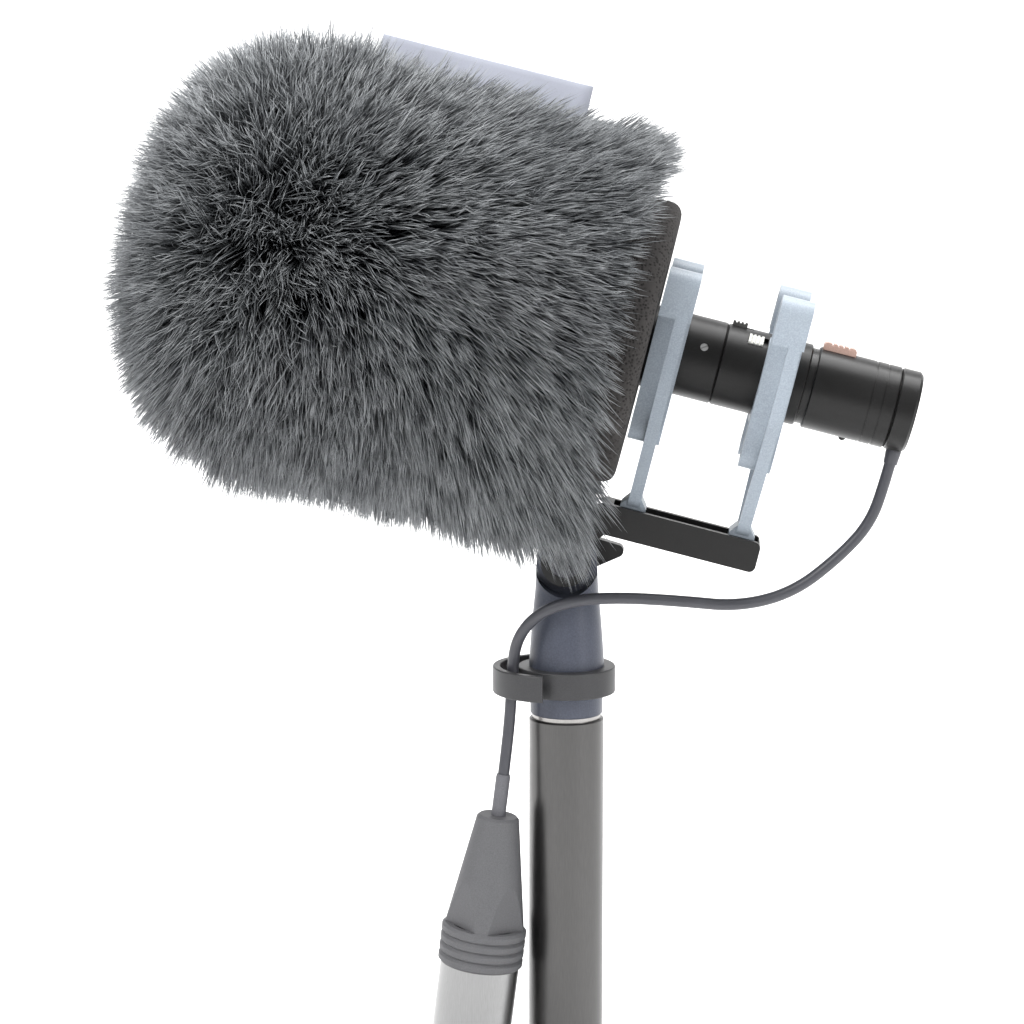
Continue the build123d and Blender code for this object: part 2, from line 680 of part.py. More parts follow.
with BuildPart() as friction_washer:
    with BuildSketch(pole_side.offset(-EAR_NEAR)):
        with Locations((0, PIVOT_H)):
            Circle(DISC_R - 0.2)
            Circle(BOLT_R + FIT, mode=Mode.SUBTRACT)
    extrude(amount=WASHER)
friction_washer.part.label = "friction_washer"
export_step(friction_washer.part, "parts/friction_washer.step")

lever_near = EAR_FAR + 0.3
bolt_seat = ARM_NEAR - 1
with BuildPart() as pivot_bolt:
    with BuildSketch(pole_side.offset(bolt_seat)):
        with Locations((0, PIVOT_H)):
            Circle(BOLT_HEAD_R)
    extrude(amount=BOLT_HEAD)
    fillet(pivot_bolt.edges().sort_by(Axis.Y)[0], 0.6)
    with BuildSketch(pole_side.offset(bolt_seat)):
        with Locations((0, PIVOT_H)):
            Circle(BOLT_R)
    extrude(amount=-(bolt_seat + lever_near + LEVER_THICK - 0.5))
    with BuildSketch(pole_side.offset(bolt_seat + BOLT_HEAD)):
        with Locations((0, PIVOT_H)):
            RegularPolygon(1.7, 6)
    extrude(amount=-1.2, mode=Mode.SUBTRACT)
pivot_bolt.part.label = "pivot_bolt"
export_step(pivot_bolt.part, "parts/pivot_bolt.step")

with BuildPart() as lever_nut:
    with BuildSketch(pole_side.offset(-lever_near)):
        with Locations((0, PIVOT_H)):
            RegularPolygon(NUT_R, 6)
            Circle(BOLT_R + FIT, mode=Mode.SUBTRACT)
    extrude(amount=-LEVER_THICK)
lever_nut.part.label = "lever_nut"
export_step(lever_nut.part, "parts/lever_nut.step")

with BuildPart() as lock_lever:
    with BuildSketch(pole_side.offset(-lever_near)):
        with Locations((0, PIVOT_H)):
            Circle(LEVER_HUB_R)
        with Locations((LEVER_LEN, PIVOT_H + 0.8)):
            Circle(LEVER_TIP_R)
        make_hull()
        with Locations((0, PIVOT_H)):
            RegularPolygon(NUT_R, 6, mode=Mode.SUBTRACT)
    extrude(amount=-LEVER_THICK)
    fillet(lock_lever.faces().sort_by(Axis.Y)[-1].outer_wire().edges(), 0.9)
lock_lever.part.label = "lock_lever"
export_step(lock_lever.part, "parts/lock_lever.step")

# ---- adaptor and cable clip --------------------------------------------------------------

with BuildPart() as adaptor_body:
    with BuildSketch(pole_side):
        with BuildLine():
            Polyline(
                (0, ADAPTOR_LEN),
                (0, INSERT_LEN),
                (INSERT_R, INSERT_LEN),
                (INSERT_R, 0),
                (ADAPTOR_FOOT_R - EDGE, 0),
                (ADAPTOR_FOOT_R, EDGE),
                (ADAPTOR_FOOT_R, FOOT_H),
                (ADAPTOR_WAIST_R, FOOT_H + EDGE),
                (ADAPTOR_WAIST_R, WAIST_H),
            )
            ThreePointArc((ADAPTOR_WAIST_R, WAIST_H), (8.2, 20.5), (ADAPTOR_NECK_R, NECK_H))
            Line((ADAPTOR_NECK_R, NECK_H), (EAR_R, PIVOT_H))
            CenterArc((0, PIVOT_H), EAR_R, 0, 90)
        make_face()
    revolve(axis=pole_axis)
    # flats of the ear, with a swept shoulder under the swivel disc
    for flat, away in ((-EAR_NEAR, 10), (-EAR_FAR, -10)):
        with BuildSketch(pole_side.offset(flat)):
            with Locations((0, PIVOT_H)):
                Circle(CUP_R)
            with Locations((0, PIVOT_H + 10)):
                Rectangle(4 * EAR_R, 20)
        extrude(amount=away, mode=Mode.SUBTRACT)
    with BuildSketch(pole_side):
        with Locations((0, PIVOT_H)):
            Circle(BOLT_R)
    extrude(amount=EAR_R + 3, both=True, mode=Mode.SUBTRACT)
adaptor_body.part.label = "adaptor_body"
export_step(adaptor_body.part, "parts/adaptor_body.step")

with BuildPart() as thread_insert:
    turn(
        [
            (THREAD_R + FIT, 0.2), (INSERT_R, 0.2), (INSERT_R, INSERT_LEN - 1),
            (THREAD_R + FIT, INSERT_LEN - 1),
        ],
        plane=pole_side,
        axis=pole_axis,
    )
thread_insert.part.label = "thread_insert"
export_step(thread_insert.part, "parts/thread_insert.step")

with BuildPart() as cable_clip:
    with BuildSketch(Plane.XY.offset(POLE_TOP + CLIP_LOW)):
        with Locations((CLIP_HOOK_X, 0)):
            Circle(CLIP_HOOK_R)
            Circle(CLIP_HOOK_R - CLIP_HOOK_WALL, mode=Mode.SUBTRACT)
        # the hook stops short of the collar on the near side
        with Locations((CLIP_MOUTH_X + 10, -CLIP_HOOK_R)):
            Rectangle(20, 2 * CLIP_HOOK_R, mode=Mode.SUBTRACT)
        Circle(CLIP_COLLAR_R)
        Circle(ADAPTOR_WAIST_R, mode=Mode.SUBTRACT)
    extrude(amount=CLIP_HIGH - CLIP_LOW)
    outer_edges = cable_clip.edges().filter_by(GeomType.CIRCLE).filter_by(
        lambda edge: edge.radius > CLIP_COLLAR_R - 0.01
    )
    fillet(outer_edges, EDGE)
cable_clip.part.label = "cable_clip"
export_step(cable_clip.part, "parts/cable_clip.step")

# ---- pole end ----------------------------------------------------------------------------

pole_bore_r = POLE_R - POLE_WALL
tube_end = -POLE_GROOVE

with BuildPart() as pole_tube:
    turn(
        [
            (pole_bore_r, -POLE_TOP), (POLE_R, -POLE_TOP), (POLE_R, tube_end - EDGE),
            (POLE_R - EDGE, tube_end), (pole_bore_r, tube_end),
        ],
        plane=pole_side,
        axis=pole_axis,
    )
pole_tube.part.label = "pole_tube"
export_step(pole_tube.part, "parts/pole_tube.step")

with BuildPart() as pole_stud:
    turn(
        [
            (0, -POLE_PLUG_LEN), (pole_bore_r, -POLE_PLUG_LEN), (pole_bore_r, tube_end),
            (POLE_GROOVE_R, tube_end), (POLE_GROOVE_R, 0), (THREAD_R, 0),
            (THREAD_R, THREAD_LEN - 1), (THREAD_R - 1, THREAD_LEN), (0, THREAD_LEN),
        ],
        plane=pole_side,
        axis=pole_axis,
    )
pole_stud.part.label = "pole_stud"
export_step(pole_stud.part, "parts/pole_stud.step")

with BuildPart() as pole_ferrule:
    turn(
        [
            (THREAD_R + FIT, 0), (pole_bore_r, 0), (pole_bore_r, POLE_PLUG_LEN),
            (0, POLE_PLUG_LEN), (0, THREAD_LEN), (THREAD_R + FIT, THREAD_LEN),
        ],
        plane=Plane(origin=(0, 0, 0), x_dir=(1, 0, 0), z_dir=toward_viewer),
        axis=pole_axis,
    )
pole_ferrule.part.label = "pole_ferrule"
export_step(pole_ferrule.part, "parts/pole_ferrule.step")

# ---- cable -------------------------------------------------------------------------------

# Heights are above the adaptor's foot. The first two points lie on the connector's exit, and
# the last two on the plug's axis.
cable_start = head_point(EXIT_A, -7.5)
cable_bend = head_point(EXIT_A, -17)
route = [
    (69.9, -0.3, 45.6),
    (62.6, -1.0, 37.6),
    (52.4, -2.2, 29.6),
    (40.0, -4.2, 26.5),
    (26.5, -6.8, 28.1),
    (13.0, -9.6, 29.2),
    (2.5, -11.2, 28.8),
    (-6.2, -10.6, 25.4),
    (-11.4, -7.6, 18.5),
    (-12.4, -4.8, 9.3),
    (-12.9, -4.9, -0.5),
    (-13.8, -5.9, -9.5),
    PLUG_TOP,
]
cable_end = plug_centre + plug_way * CABLE_IN_PLUG
cable_points = [cable_start, cable_bend]
cable_points += [Vector(x, y, z + POLE_TOP) for x, y, z in route]
cable_points += [cable_end]

bend_radii = []
for before, corner, after in zip(cable_points, cable_points[1:], cable_points[2:]):
    into, out = corner - before, after - corner
    half_turn = radians(into.get_angle(out)) / 2
    bend_radii.append(0.45 * min(into.length, out.length) / tan(half_turn))
print("cable bend radii", [round(r, 1) for r in bend_radii])

with BuildPart() as cable:
    with BuildLine() as cable_line:
        FilletPolyline(*cable_points, radius=bend_radii)
    with BuildSketch(Plane(origin=cable_start, x_dir=along, z_dir=-up)):
        Circle(CABLE_R)
    sweep()
cable.part.label = "cable"
export_step(cable.part, "parts/cable.step")
cable_length = sum(edge.length for edge in cable_line.edges())
print("cable length", round(cable_length, 1))
print("cable volume over its section", round(cable.part.volume / (pi * CABLE_R**2), 1))

sleeve_way = (plug_centre - cable_points[-3]).normalized()
sleeve_start = plug_centre - sleeve_way * SLEEVE_LEN
sleeve_front = sleeve_way.cross(Vector(0, 1, 0)).cross(sleeve_way)  # square to the sleeve
with BuildPart() as cable_sleeve:
    turn(
        [
            (0, CABLE_R), (0, CABLE_R + SLEEVE_LIP), (SLEEVE_TAPER, SLEEVE_R), (SLEEVE_LEN, SLEEVE_R),
            (SLEEVE_LEN, CABLE_R),
        ],
        plane=Plane(origin=sleeve_start, x_dir=sleeve_way, z_dir=sleeve_front),
        axis=Axis(sleeve_start, sleeve_way),
    )
cable_sleeve.part.label = "cable_sleeve"
export_step(cable_sleeve.part, "parts/cable_sleeve.step")

# ---- cable plug --------------------------------------------------------------------------

with BuildPart(Plane(origin=plug_centre, x_dir=(0, 1, 0), z_dir=plug_way)) as plug_boot:
    turn(
        [
            (0, CABLE_R), (0, BOOT_TOP_R - 0.6), (0.6, BOOT_TOP_R), (BOOT_LEN, BOOT_END_R),
            (BOOT_LEN, BOOT_BORE_END_R), (BOOT_BORE_START, BOOT_BORE_TOP_R),
            (CABLE_IN_PLUG, BOOT_BORE_TOP_R), (CABLE_IN_PLUG, CABLE_R),
        ],
        plane=plug_side,
        axis=plug_axis,
    )
    # four grip flats that fade out up the cone
    with PolarLocations(BOOT_FLAT + BOOT_END_R, 4, start_angle=45):
        Box(2 * BOOT_END_R, 2 * BOOT_END_R, 2 * BOOT_LEN, mode=Mode.SUBTRACT)
plug_boot.part.label = "plug_boot"
export_step(plug_boot.part, "parts/plug_boot.step")

ridge_pitch = (COLLAR_END - BOOT_LEN) / COLLAR_RIDGES
ridges = []
for i in range(COLLAR_RIDGES):
    start = BOOT_LEN + i * ridge_pitch
    ridges += [
        (start, COLLAR_R - RIDGE_DEEP),
        (start + RIDGE_DEEP, COLLAR_R),
        (start + ridge_pitch - RIDGE_DEEP, COLLAR_R),
        (start + ridge_pitch - FIT, COLLAR_R - RIDGE_DEEP),
    ]
with BuildPart() as plug_collar:
    turn(
        [(BOOT_LEN, PLUG_BORE_R)]
        + ridges
        + [(COLLAR_END, COLLAR_R - RIDGE_DEEP), (COLLAR_END, PLUG_BORE_R)],
        plane=plug_side,
        axis=plug_axis,
    )
plug_collar.part.label = "plug_collar"
export_step(plug_collar.part, "parts/plug_collar.step")

with BuildPart() as plug_shell:
    turn(
        [
            (COLLAR_END, PLUG_BORE_R), (COLLAR_END, PLUG_SHELL_R), (PLUG_LEN - 0.4, PLUG_SHELL_R),
            (PLUG_LEN, PLUG_SHELL_R - 0.4), (PLUG_LEN, PLUG_BORE_R),
        ],
        plane=plug_side,
        axis=plug_axis,
    )
plug_shell.part.label = "plug_shell"
export_step(plug_shell.part, "parts/plug_shell.step")

insert_back = plug_centre + plug_way * (PIN_BASE - INSERT_THICK)
insert_plane = Plane(origin=insert_back, x_dir=(0, 1, 0), z_dir=plug_way)

with BuildPart() as plug_insert:
    with BuildSketch(insert_plane):
        Circle(PLUG_BORE_R)
        with PolarLocations(PIN_CIRCLE_R, 3, start_angle=90):
            Circle(PIN_R, mode=Mode.SUBTRACT)
    extrude(amount=INSERT_THICK)
plug_insert.part.label = "plug_insert"
export_step(plug_insert.part, "parts/plug_insert.step")

with BuildPart() as plug_pins:
    with BuildSketch(insert_plane):
        with PolarLocations(PIN_CIRCLE_R, 3, start_angle=90):
            Circle(PIN_R)
    extrude(amount=PIN_TIP - PIN_BASE + INSERT_THICK)
    chamfer(plug_pins.faces().sort_by(plug_axis)[-3:].edges(), PIN_TIP_CHAMFER)
plug_pins.part.label = "plug_pins"
export_step(plug_pins.part, "parts/plug_pins.step")
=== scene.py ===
"""A furry windscreen on its microphone, with the suspension, swivel and cable that carry it.

Everything is in metres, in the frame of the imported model: +Z up the pole, -X the way the
windscreen points, and the origin at the threaded foot of the pole.
"""

import json
import math

import bmesh
import bpy
import numpy as np
from bpy.props import FloatProperty, FloatVectorProperty, IntProperty, PointerProperty
from mathutils import Matrix, Vector


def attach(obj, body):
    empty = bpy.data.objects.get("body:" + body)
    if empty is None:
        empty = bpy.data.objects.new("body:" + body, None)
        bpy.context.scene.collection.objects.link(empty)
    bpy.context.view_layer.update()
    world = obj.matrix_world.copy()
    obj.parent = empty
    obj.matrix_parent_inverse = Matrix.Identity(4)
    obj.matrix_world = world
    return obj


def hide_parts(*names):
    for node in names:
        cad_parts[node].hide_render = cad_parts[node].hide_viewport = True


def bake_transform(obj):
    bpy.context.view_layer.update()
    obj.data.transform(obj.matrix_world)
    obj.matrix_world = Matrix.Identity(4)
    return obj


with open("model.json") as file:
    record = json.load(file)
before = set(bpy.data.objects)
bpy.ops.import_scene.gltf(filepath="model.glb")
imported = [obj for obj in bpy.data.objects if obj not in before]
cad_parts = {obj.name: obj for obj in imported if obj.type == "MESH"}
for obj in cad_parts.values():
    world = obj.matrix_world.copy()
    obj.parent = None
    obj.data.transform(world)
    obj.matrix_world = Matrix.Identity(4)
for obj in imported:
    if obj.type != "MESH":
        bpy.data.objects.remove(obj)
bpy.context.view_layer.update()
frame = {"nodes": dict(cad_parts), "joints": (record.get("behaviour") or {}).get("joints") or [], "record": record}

bl_info = {
    "name": "Furry windscreen",
    "version": (1, 0, 0),
    "blender": (4, 5, 0),
    "location": "View3D > Sidebar > Windscreen",
    "description": "Builds a long-pile furry windscreen on its microphone and suspension",
    "category": "Object",
}

MM = 0.001

# ---- places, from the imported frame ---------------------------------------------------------

joints = {joint["name"]: joint for joint in frame["joints"]}
slot_of = {part["node"]: part["material_slot"] for part in frame["record"]["subparts"]}

along = Vector(joints["mic_float"]["axis"]).normalized()  # rearwards along the microphone
across = Vector((0, 1, 0))
up = across.cross(-along).normalized()  # square to the microphone, away from the pole
pivot = Vector(joints["head_tilt"]["pos_m"])
pole_top = joints["adaptor_turn"]["pos_m"][2]
PIVOT_A, PIVOT_N = -6.0 * MM, -52.9 * MM
head_centre = pivot - along * PIVOT_A - up * PIVOT_N


def head_point(a, n, y=0.0):
    """A point a along the microphone from the foam's rear face, n up from its axis, y across."""
    return head_centre + along * a + up * n + across * y


def onto_microphone():
    """The matrix that lays a shape turned about +Z along the microphone, nose at -Z."""
    turned = Matrix((up, -across, along)).transposed().to_4x4()
    return Matrix.Translation(head_centre) @ turned


# ---- settings ------------------------------------------------------------------------------


def colour_setting(name, description, default):
    return FloatVectorProperty(
        name=name, description=description, default=default, subtype="COLOR", min=0, max=1
    )


def length_setting(name, description, default):
    return FloatProperty(
        name=name, description=description, default=default, unit="LENGTH", precision=5
    )


class WINDSCREEN_PG_pile(bpy.types.PropertyGroup):
    """Sizes and colours of the fur."""

    strands: IntProperty(name="Hairs", description="Hairs in each patch of fur", default=8900)
    patches: IntProperty(name="Patches", description="Patches that the fur is made in", default=9)
    seed: IntProperty(name="Seed", description="Start of the random draws", default=11)
    length: length_setting("Pile length", "Length of a hair", 26 * MM)
    thickness: length_setting("Hair thickness", "Radius of a hair near its root", 0.15 * MM)
    root: colour_setting("Root", "Colour of the hairs at the cloth", (0.026, 0.024, 0.023))
    middle: colour_setting("Middle", "Colour half way up the hairs", (0.118, 0.128, 0.139))
    tip: colour_setting("Tip", "Colour of the hairs' tips", (0.51, 0.53, 0.545))


class WINDSCREEN_PG_cable(bpy.types.PropertyGroup):
    """Sizes of the cable."""

    diameter: length_setting("Diameter", "Outer diameter of the cable", 2.7 * MM)


class WINDSCREEN_PG_stage(bpy.types.PropertyGroup):
    """The floor, the lights and the camera."""

    lens: FloatProperty(name="Lens", description="Focal length in millimetres", default=100)
    distance: length_setting("Distance", "Camera to the object's middle", 0.661)
    elevation: FloatProperty(
        name="Elevation",
        description="Camera's angle above the horizon",
        default=math.radians(8.5),
        subtype="ANGLE",
    )
    azimuth: FloatProperty(
        name="Azimuth",
        description="Camera's turn towards the microphone's rear",
        default=math.radians(4.5),
        subtype="ANGLE",
    )
    floor: colour_setting("Floor", "Colour of the floor and backdrop", (0.86, 0.86, 0.86))


# ---- shader maths --------------------------------------------------------------------------


class Value:
    """A shader socket that can be used in an ordinary expression."""

    def __init__(self, finish, socket):
        self.finish, self.socket = finish, socket

    def maths(self, operation, first, second):
        settings = {"operation": operation}
        return self.finish.add("ShaderNodeMath", settings, {0: first, 1: second})

    def __add__(self, other):
        return self.maths("ADD", self, other)

    def __radd__(self, other):
        return self.maths("ADD", other, self)

    def __sub__(self, other):
        return self.maths("SUBTRACT", self, other)

    def __rsub__(self, other):
        return self.maths("SUBTRACT", other, self)

    def __mul__(self, other):
        return self.maths("MULTIPLY", self, other)

    def __rmul__(self, other):
        return self.maths("MULTIPLY", other, self)

    def __truediv__(self, other):
        return self.maths("DIVIDE", self, other)


class Finish:
    """One material, with the nodes that make it."""

    def __init__(self, name, **plain):
        self.material = bpy.data.materials.new(name)
        self.material.use_nodes = True
        self.nodes = self.material.node_tree.nodes
        self.nodes.clear()
        self.surface = self.nodes.new("ShaderNodeBsdfPrincipled")
        output = self.nodes.new("ShaderNodeOutputMaterial")
        self.link(output.inputs["Surface"], Value(self, self.surface.outputs[0]))
        self.wear(**plain)

    def link(self, socket, value):
        """Links a Value to the socket, or sets the socket to a number or colour."""
        if isinstance(value, Value):
            self.material.node_tree.links.new(value.socket, socket)
        elif hasattr(value, "__len__") and len(value) == 3 and len(socket.default_value) == 4:
            socket.default_value = (*value, 1)
        else:
            socket.default_value = value

    def add(self, kind, settings=None, inputs=None, output=0):
        """A node of that kind, with its settings set first and its sockets filled or linked."""
        node = self.nodes.new(kind)
        for name, value in (settings or {}).items():
            if name == "stops":
                ramp = node.color_ramp.elements
                while len(ramp) < len(value):
                    ramp.new(1)
                for stop, (place, colour) in zip(ramp, value):
                    stop.position, stop.color = place, (*colour, 1)
            else:
                setattr(node, name, value)
        for name, value in (inputs or {}).items():
            self.link(node.inputs[name], value)
        return Value(self, node.outputs[output])

    def wear(self, **values):
        """Sets the surface's sockets, named in words: base_color is Base Color."""
        for name, value in values.items():
            socket = name.replace("_", " ").title().replace("Ior", "IOR")
            self.link(self.surface.inputs[socket], value)
        return self

    def place(self, stretch=(1, 1, 1)):
        """Object coordinates, stretched."""
        coordinates = self.add("ShaderNodeTexCoord", output="Object")
        return self.add("ShaderNodeMapping", {}, {"Vector": coordinates, "Scale": stretch})

    def noise(self, size, detail=3.0, stretch=(1, 1, 1)):
        """Noise from 0 to 1 with lumps of about that size in metres."""
        inputs = {"Vector": self.place(stretch), "Scale": 1 / size}
        inputs |= {"Detail": detail, "Roughness": 0.55}
        return self.add("ShaderNodeTexNoise", {}, inputs, "Fac")

    def cells(self, size):
        """Distance from the middle of cells of about that size in metres."""
        inputs = {"Vector": self.place(), "Scale": 1 / size}
        return self.add("ShaderNodeTexVoronoi", {"feature": "F1"}, inputs, "Distance")

    def between(self, value, low, high):
        """The value stretched so that low is 0 and high is 1."""
        inputs = {"Value": value, "From Min": low, "From Max": high}
        return self.add("ShaderNodeMapRange", {"clamp": True}, inputs)

    def mix(self, share, first, second):
        inputs = {0: share, 6: first, 7: second}
        return self.add("ShaderNodeMix", {"data_type": "RGBA"}, inputs, 2)

    def ramp(self, value, stops):
        return self.add("ShaderNodeValToRGB", {"stops": stops}, {"Fac": value})

    def bump(self, height, depth, strength=1.0):
        inputs = {"Height": height, "Distance": depth, "Strength": strength}
        return self.add("ShaderNodeBump", {}, inputs)


def darker(colour, share):
    return tuple(channel * share for channel in colour)


# ---- finishes ------------------------------------------------------------------------------

PORE = 0.75 * MM  # across a pore of the foam
THREAD = 0.35 * MM  # across a thread of the label
BRUSHED = 0.15 * MM  # across a line in brushed metal
CLOUD = 7 * MM  # across a patch of a moulded surface's uneven colour


def fur_finish(pile):
    """Hair that goes from dark at the cloth to pale at its tip.

    The map's v is the way up the hair, and its u goes from dull hairs to bright ones.
    """
    fur = Finish("fur_hair", roughness=0.42, specular_ior_level=0.45)
    place = fur.add("ShaderNodeUVMap", {"uv_map": "OFBake"})
    tone = fur.add("ShaderNodeSeparateXYZ", {}, {0: place}, "X")
    height = fur.add("ShaderNodeSeparateXYZ", {}, {0: place}, "Y")
    root, middle, tip = tuple(pile.root), tuple(pile.middle), tuple(pile.tip)
    dull = [(0, root), (0.5, darker(middle, 0.35)), (0.85, darker(middle, 0.6)), (1, middle)]
    bright = [(0, root), (0.45, darker(middle, 0.75)), (0.82, darker(tip, 0.5)), (1, tip)]
    shades = fur.ramp(height, dull), fur.ramp(height, bright)
    return fur.wear(base_color=fur.mix(tone, *shades)).material


def knit_finish(name, colour, size):
    """A close knitted cloth, painted darker away from the middle of each knitted loop as painted shade in the
    gaps.
    """
    cloth = Finish(name, roughness=0.95, specular_ior_level=0.2)
    loops_and_gap_shade = cloth.cells(size)
    patches = cloth.noise(12 * MM)
    shade = cloth.mix(patches, darker(colour, 0.6), darker(colour, 1.3))
    # painted shade: the colour darkens from each loop's middle out to the gaps that the bump sinks
    cloth.wear(base_color=cloth.mix(loops_and_gap_shade, shade, darker(colour, 0.4)))
    return cloth.wear(normal=cloth.bump(1 - loops_and_gap_shade, 0.4 * size)).material


def foam_finish(name, colour):
    """Open-cell foam in a matt grey, its small holes painted darker as painted shade."""
    foam = Finish(name, roughness=1.0, specular_ior_level=0.15)
    pores_and_shade = foam.between(foam.cells(PORE), 0.05, 0.5)
    cloudy = foam.noise(9 * MM)
    body = foam.mix(cloudy, darker(colour, 0.75), darker(colour, 1.25))
    # painted shade: the colour darkens towards the middle of each pore, where the bump sinks a hole
    foam.wear(base_color=foam.mix(pores_and_shade, darker(colour, 0.35), body))
    return foam.wear(normal=foam.bump(pores_and_shade, 0.25 * MM, 0.8)).material


def label_finish(colour):
    """A plain woven label with a satin face."""
    label = Finish("label_weave", roughness=0.6, sheen_weight=0.3)
    warp = label.noise(THREAD, stretch=(1, 1, 4))
    weft = label.noise(THREAD, stretch=(4, 1, 1))
    threads = (warp + weft) / 2
    label.wear(base_color=label.mix(threads, darker(colour, 0.8), darker(colour, 1.15)))
    return label.wear(normal=label.bump(threads, 0.05 * MM)).material


def satin_finish(name, colour, roughness, metallic=0.0, grain=0.25 * MM, depth=0.012 * MM):
    """A coated or moulded surface with a fine grain and slight clouding."""
    satin = Finish(name, metallic=metallic, specular_ior_level=0.32)
    clouds = satin.noise(CLOUD, 4)
    speckle = satin.noise(grain, 2)
    body = satin.mix(clouds, darker(colour, 0.86), darker(colour, 1.14))
    satin.wear(base_color=satin.mix(satin.between(speckle, 0.35, 0.75), body, darker(colour, 1.3)))
    satin.wear(roughness=roughness + 0.12 * (clouds - 0.5) + 0.1 * (speckle - 0.5))
    return satin.wear(normal=satin.bump(speckle, depth)).material


def brushed_finish(name, colour, roughness):
    """Metal with fine upright lines."""
    metal = Finish(name, metallic=1.0)
    lines = metal.noise(BRUSHED, stretch=(1, 1, 0.05))
    clouds = metal.noise(6 * MM)
    metal.wear(base_color=metal.mix(lines, darker(colour, 0.8), darker(colour, 1.15)))
    metal.wear(roughness=roughness + 0.15 * (lines - 0.5) + 0.08 * (clouds - 0.5))
    return metal.wear(normal=metal.bump(lines, 0.01 * MM)).material


def cable_finish(colour):
    """A soft extruded jacket."""
    jacket = Finish("cable_jacket")
    clouds = jacket.noise(5 * MM)
    grain = jacket.noise(0.3 * MM, 2)
    jacket.wear(base_color=jacket.mix(clouds, darker(colour, 0.85), darker(colour, 1.15)))
    jacket.wear(roughness=0.42 + 0.12 * (clouds - 0.5))
    return jacket.wear(normal=jacket.bump(grain, 0.015 * MM)).material


def finishes():
    """The finish of each of the record's material slots."""
    near_black = (0.009, 0.0088, 0.0088)
    lyre_blue = (0.25, 0.285, 0.325)
    slate = (0.055, 0.061, 0.082)
    return {
        "foam": foam_finish("foam_cells", (0.05, 0.048, 0.048)),
        "rear_foam": foam_finish("rear_foam_cells", (0.052, 0.049, 0.048)),
        "hem_tape": knit_finish("hem_tape", (0.06, 0.06, 0.06), 0.5 * MM),
        "label": label_finish((0.46, 0.48, 0.56)),
        "mic_metal": satin_finish("mic_black_anodised", near_black, 0.38, 0.35),
        "capsule": brushed_finish("capsule_brass", (0.6, 0.45, 0.2), 0.3),
        "board": satin_finish("circuit_board", (0.05, 0.2, 0.1), 0.4),
        "steel": brushed_finish("steel", (0.5, 0.5, 0.5), 0.3),
        "insert_plastic": satin_finish("insert_plastic", (0.03, 0.03, 0.03), 0.5),
        "slider_plastic": satin_finish("slider_plastic", (0.06, 0.058, 0.055), 0.45),
        "pad_grey": satin_finish("pad_grey", (0.5, 0.5, 0.47), 0.5),
        "connector_black": satin_finish("connector_black", near_black, 0.33, 0.2),
        "latch_rose": satin_finish("latch_rose", (0.36, 0.24, 0.2), 0.5),
        "cable_jacket": cable_finish((0.045, 0.046, 0.055)),
        "sleeve": satin_finish("sleeve", (0.10, 0.10, 0.11), 0.5),
        "lyre_plastic": satin_finish("lyre_plastic", lyre_blue, 0.42, 0.0, 0.3 * MM, 0.01 * MM),
        "bar_black": satin_finish("bar_black", near_black, 0.45, 0.0, 0.3 * MM, 0.03 * MM),
        "washer": satin_finish("washer", (0.08, 0.08, 0.08), 0.7),
        "bolt_black": satin_finish("bolt_black", (0.04, 0.04, 0.045), 0.3, 0.8),
        "brass": brushed_finish("brass", (0.6, 0.46, 0.22), 0.3),
        "lever_black": satin_finish("lever_black", near_black, 0.4),
        "adaptor_slate": satin_finish("adaptor_slate", slate, 0.36, 0.1, 0.4 * MM, 0.03 * MM),
        "clip_grey": satin_finish("clip_grey", (0.035, 0.035, 0.037), 0.45),
        "pole_metal": brushed_finish("pole_metal", (0.10, 0.098, 0.097), 0.34),
        "stud_steel": brushed_finish("stud_steel", (0.35, 0.34, 0.33), 0.3),
        "plug_boot_rubber": satin_finish("plug_boot_rubber", (0.09, 0.09, 0.095), 0.6),
        "plug_metal": brushed_finish("plug_metal", (0.3, 0.3, 0.3), 0.35),
        "gold_pins": brushed_finish("gold_pins", (0.8, 0.6, 0.25), 0.2),
    }


# ---- making pieces -------------------------------------------------------------------------

MERGE = 1e-6  # corners nearer than this are one


def as_piece(name, shape, body, material, place=None, smooth=True):
    """Makes a bmesh into a piece that rides on a body, with its place in its mesh."""
    mesh = bpy.data.meshes.new(name)
    if place is not None:
        bmesh.ops.transform(shape, matrix=place, verts=shape.verts)
    shape.to_mesh(mesh)
    shape.free()
    mesh.materials.append(material)
    mesh.polygons.foreach_set("use_smooth", [smooth] * len(mesh.polygons))
    piece = bpy.data.objects.new(name, mesh)
    bpy.context.scene.collection.objects.link(piece)
    if body:
        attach(piece, body)
    return piece


def turned_shape(outline, steps=96):
    """A closed ring or solid turned about +Z from an outline of (height, radius) points."""
    shape = bmesh.new()
    corners = [shape.verts.new((radius, 0, height)) for height, radius in outline]
    edges = [shape.edges.new(pair) for pair in zip(corners, corners[1:] + corners[:1])]
    bmesh.ops.spin(
        shape, geom=corners + edges, cent=(0, 0, 0), axis=(0, 0, 1), angle=2 * math.pi,
        steps=steps, use_merge=True,
    )
    bmesh.ops.remove_doubles(shape, verts=shape.verts, dist=MERGE)
    bmesh.ops.recalc_face_normals(shape, faces=shape.faces)
    return shape


def arc(centre, radius, start, end, steps):
    """Points on an arc as (height, radius), angles in degrees from +radius towards -height."""
    turns = [math.radians(start + (end - start) * step / steps) for step in range(steps + 1)]
    return [(centre[0] - radius * math.sin(t), centre[1] + radius * math.cos(t)) for t in turns]


# the foam that the fur is drawn over, measured along the microphone and out from it
FOAM_R = 33 * MM
FOAM_FRONT = -104 * MM
FOAM_NOSE_R = 19 * MM
RING_FRONT = -12 * MM
RIM_R = 3 * MM
MIC_R = 9.6 * MM
BORE_END = -79 * MM
BORE_CHAMFER = 0.8 * MM
NOSE_CENTRE = (FOAM_FRONT + FOAM_NOSE_R, FOAM_R - FOAM_NOSE_R)


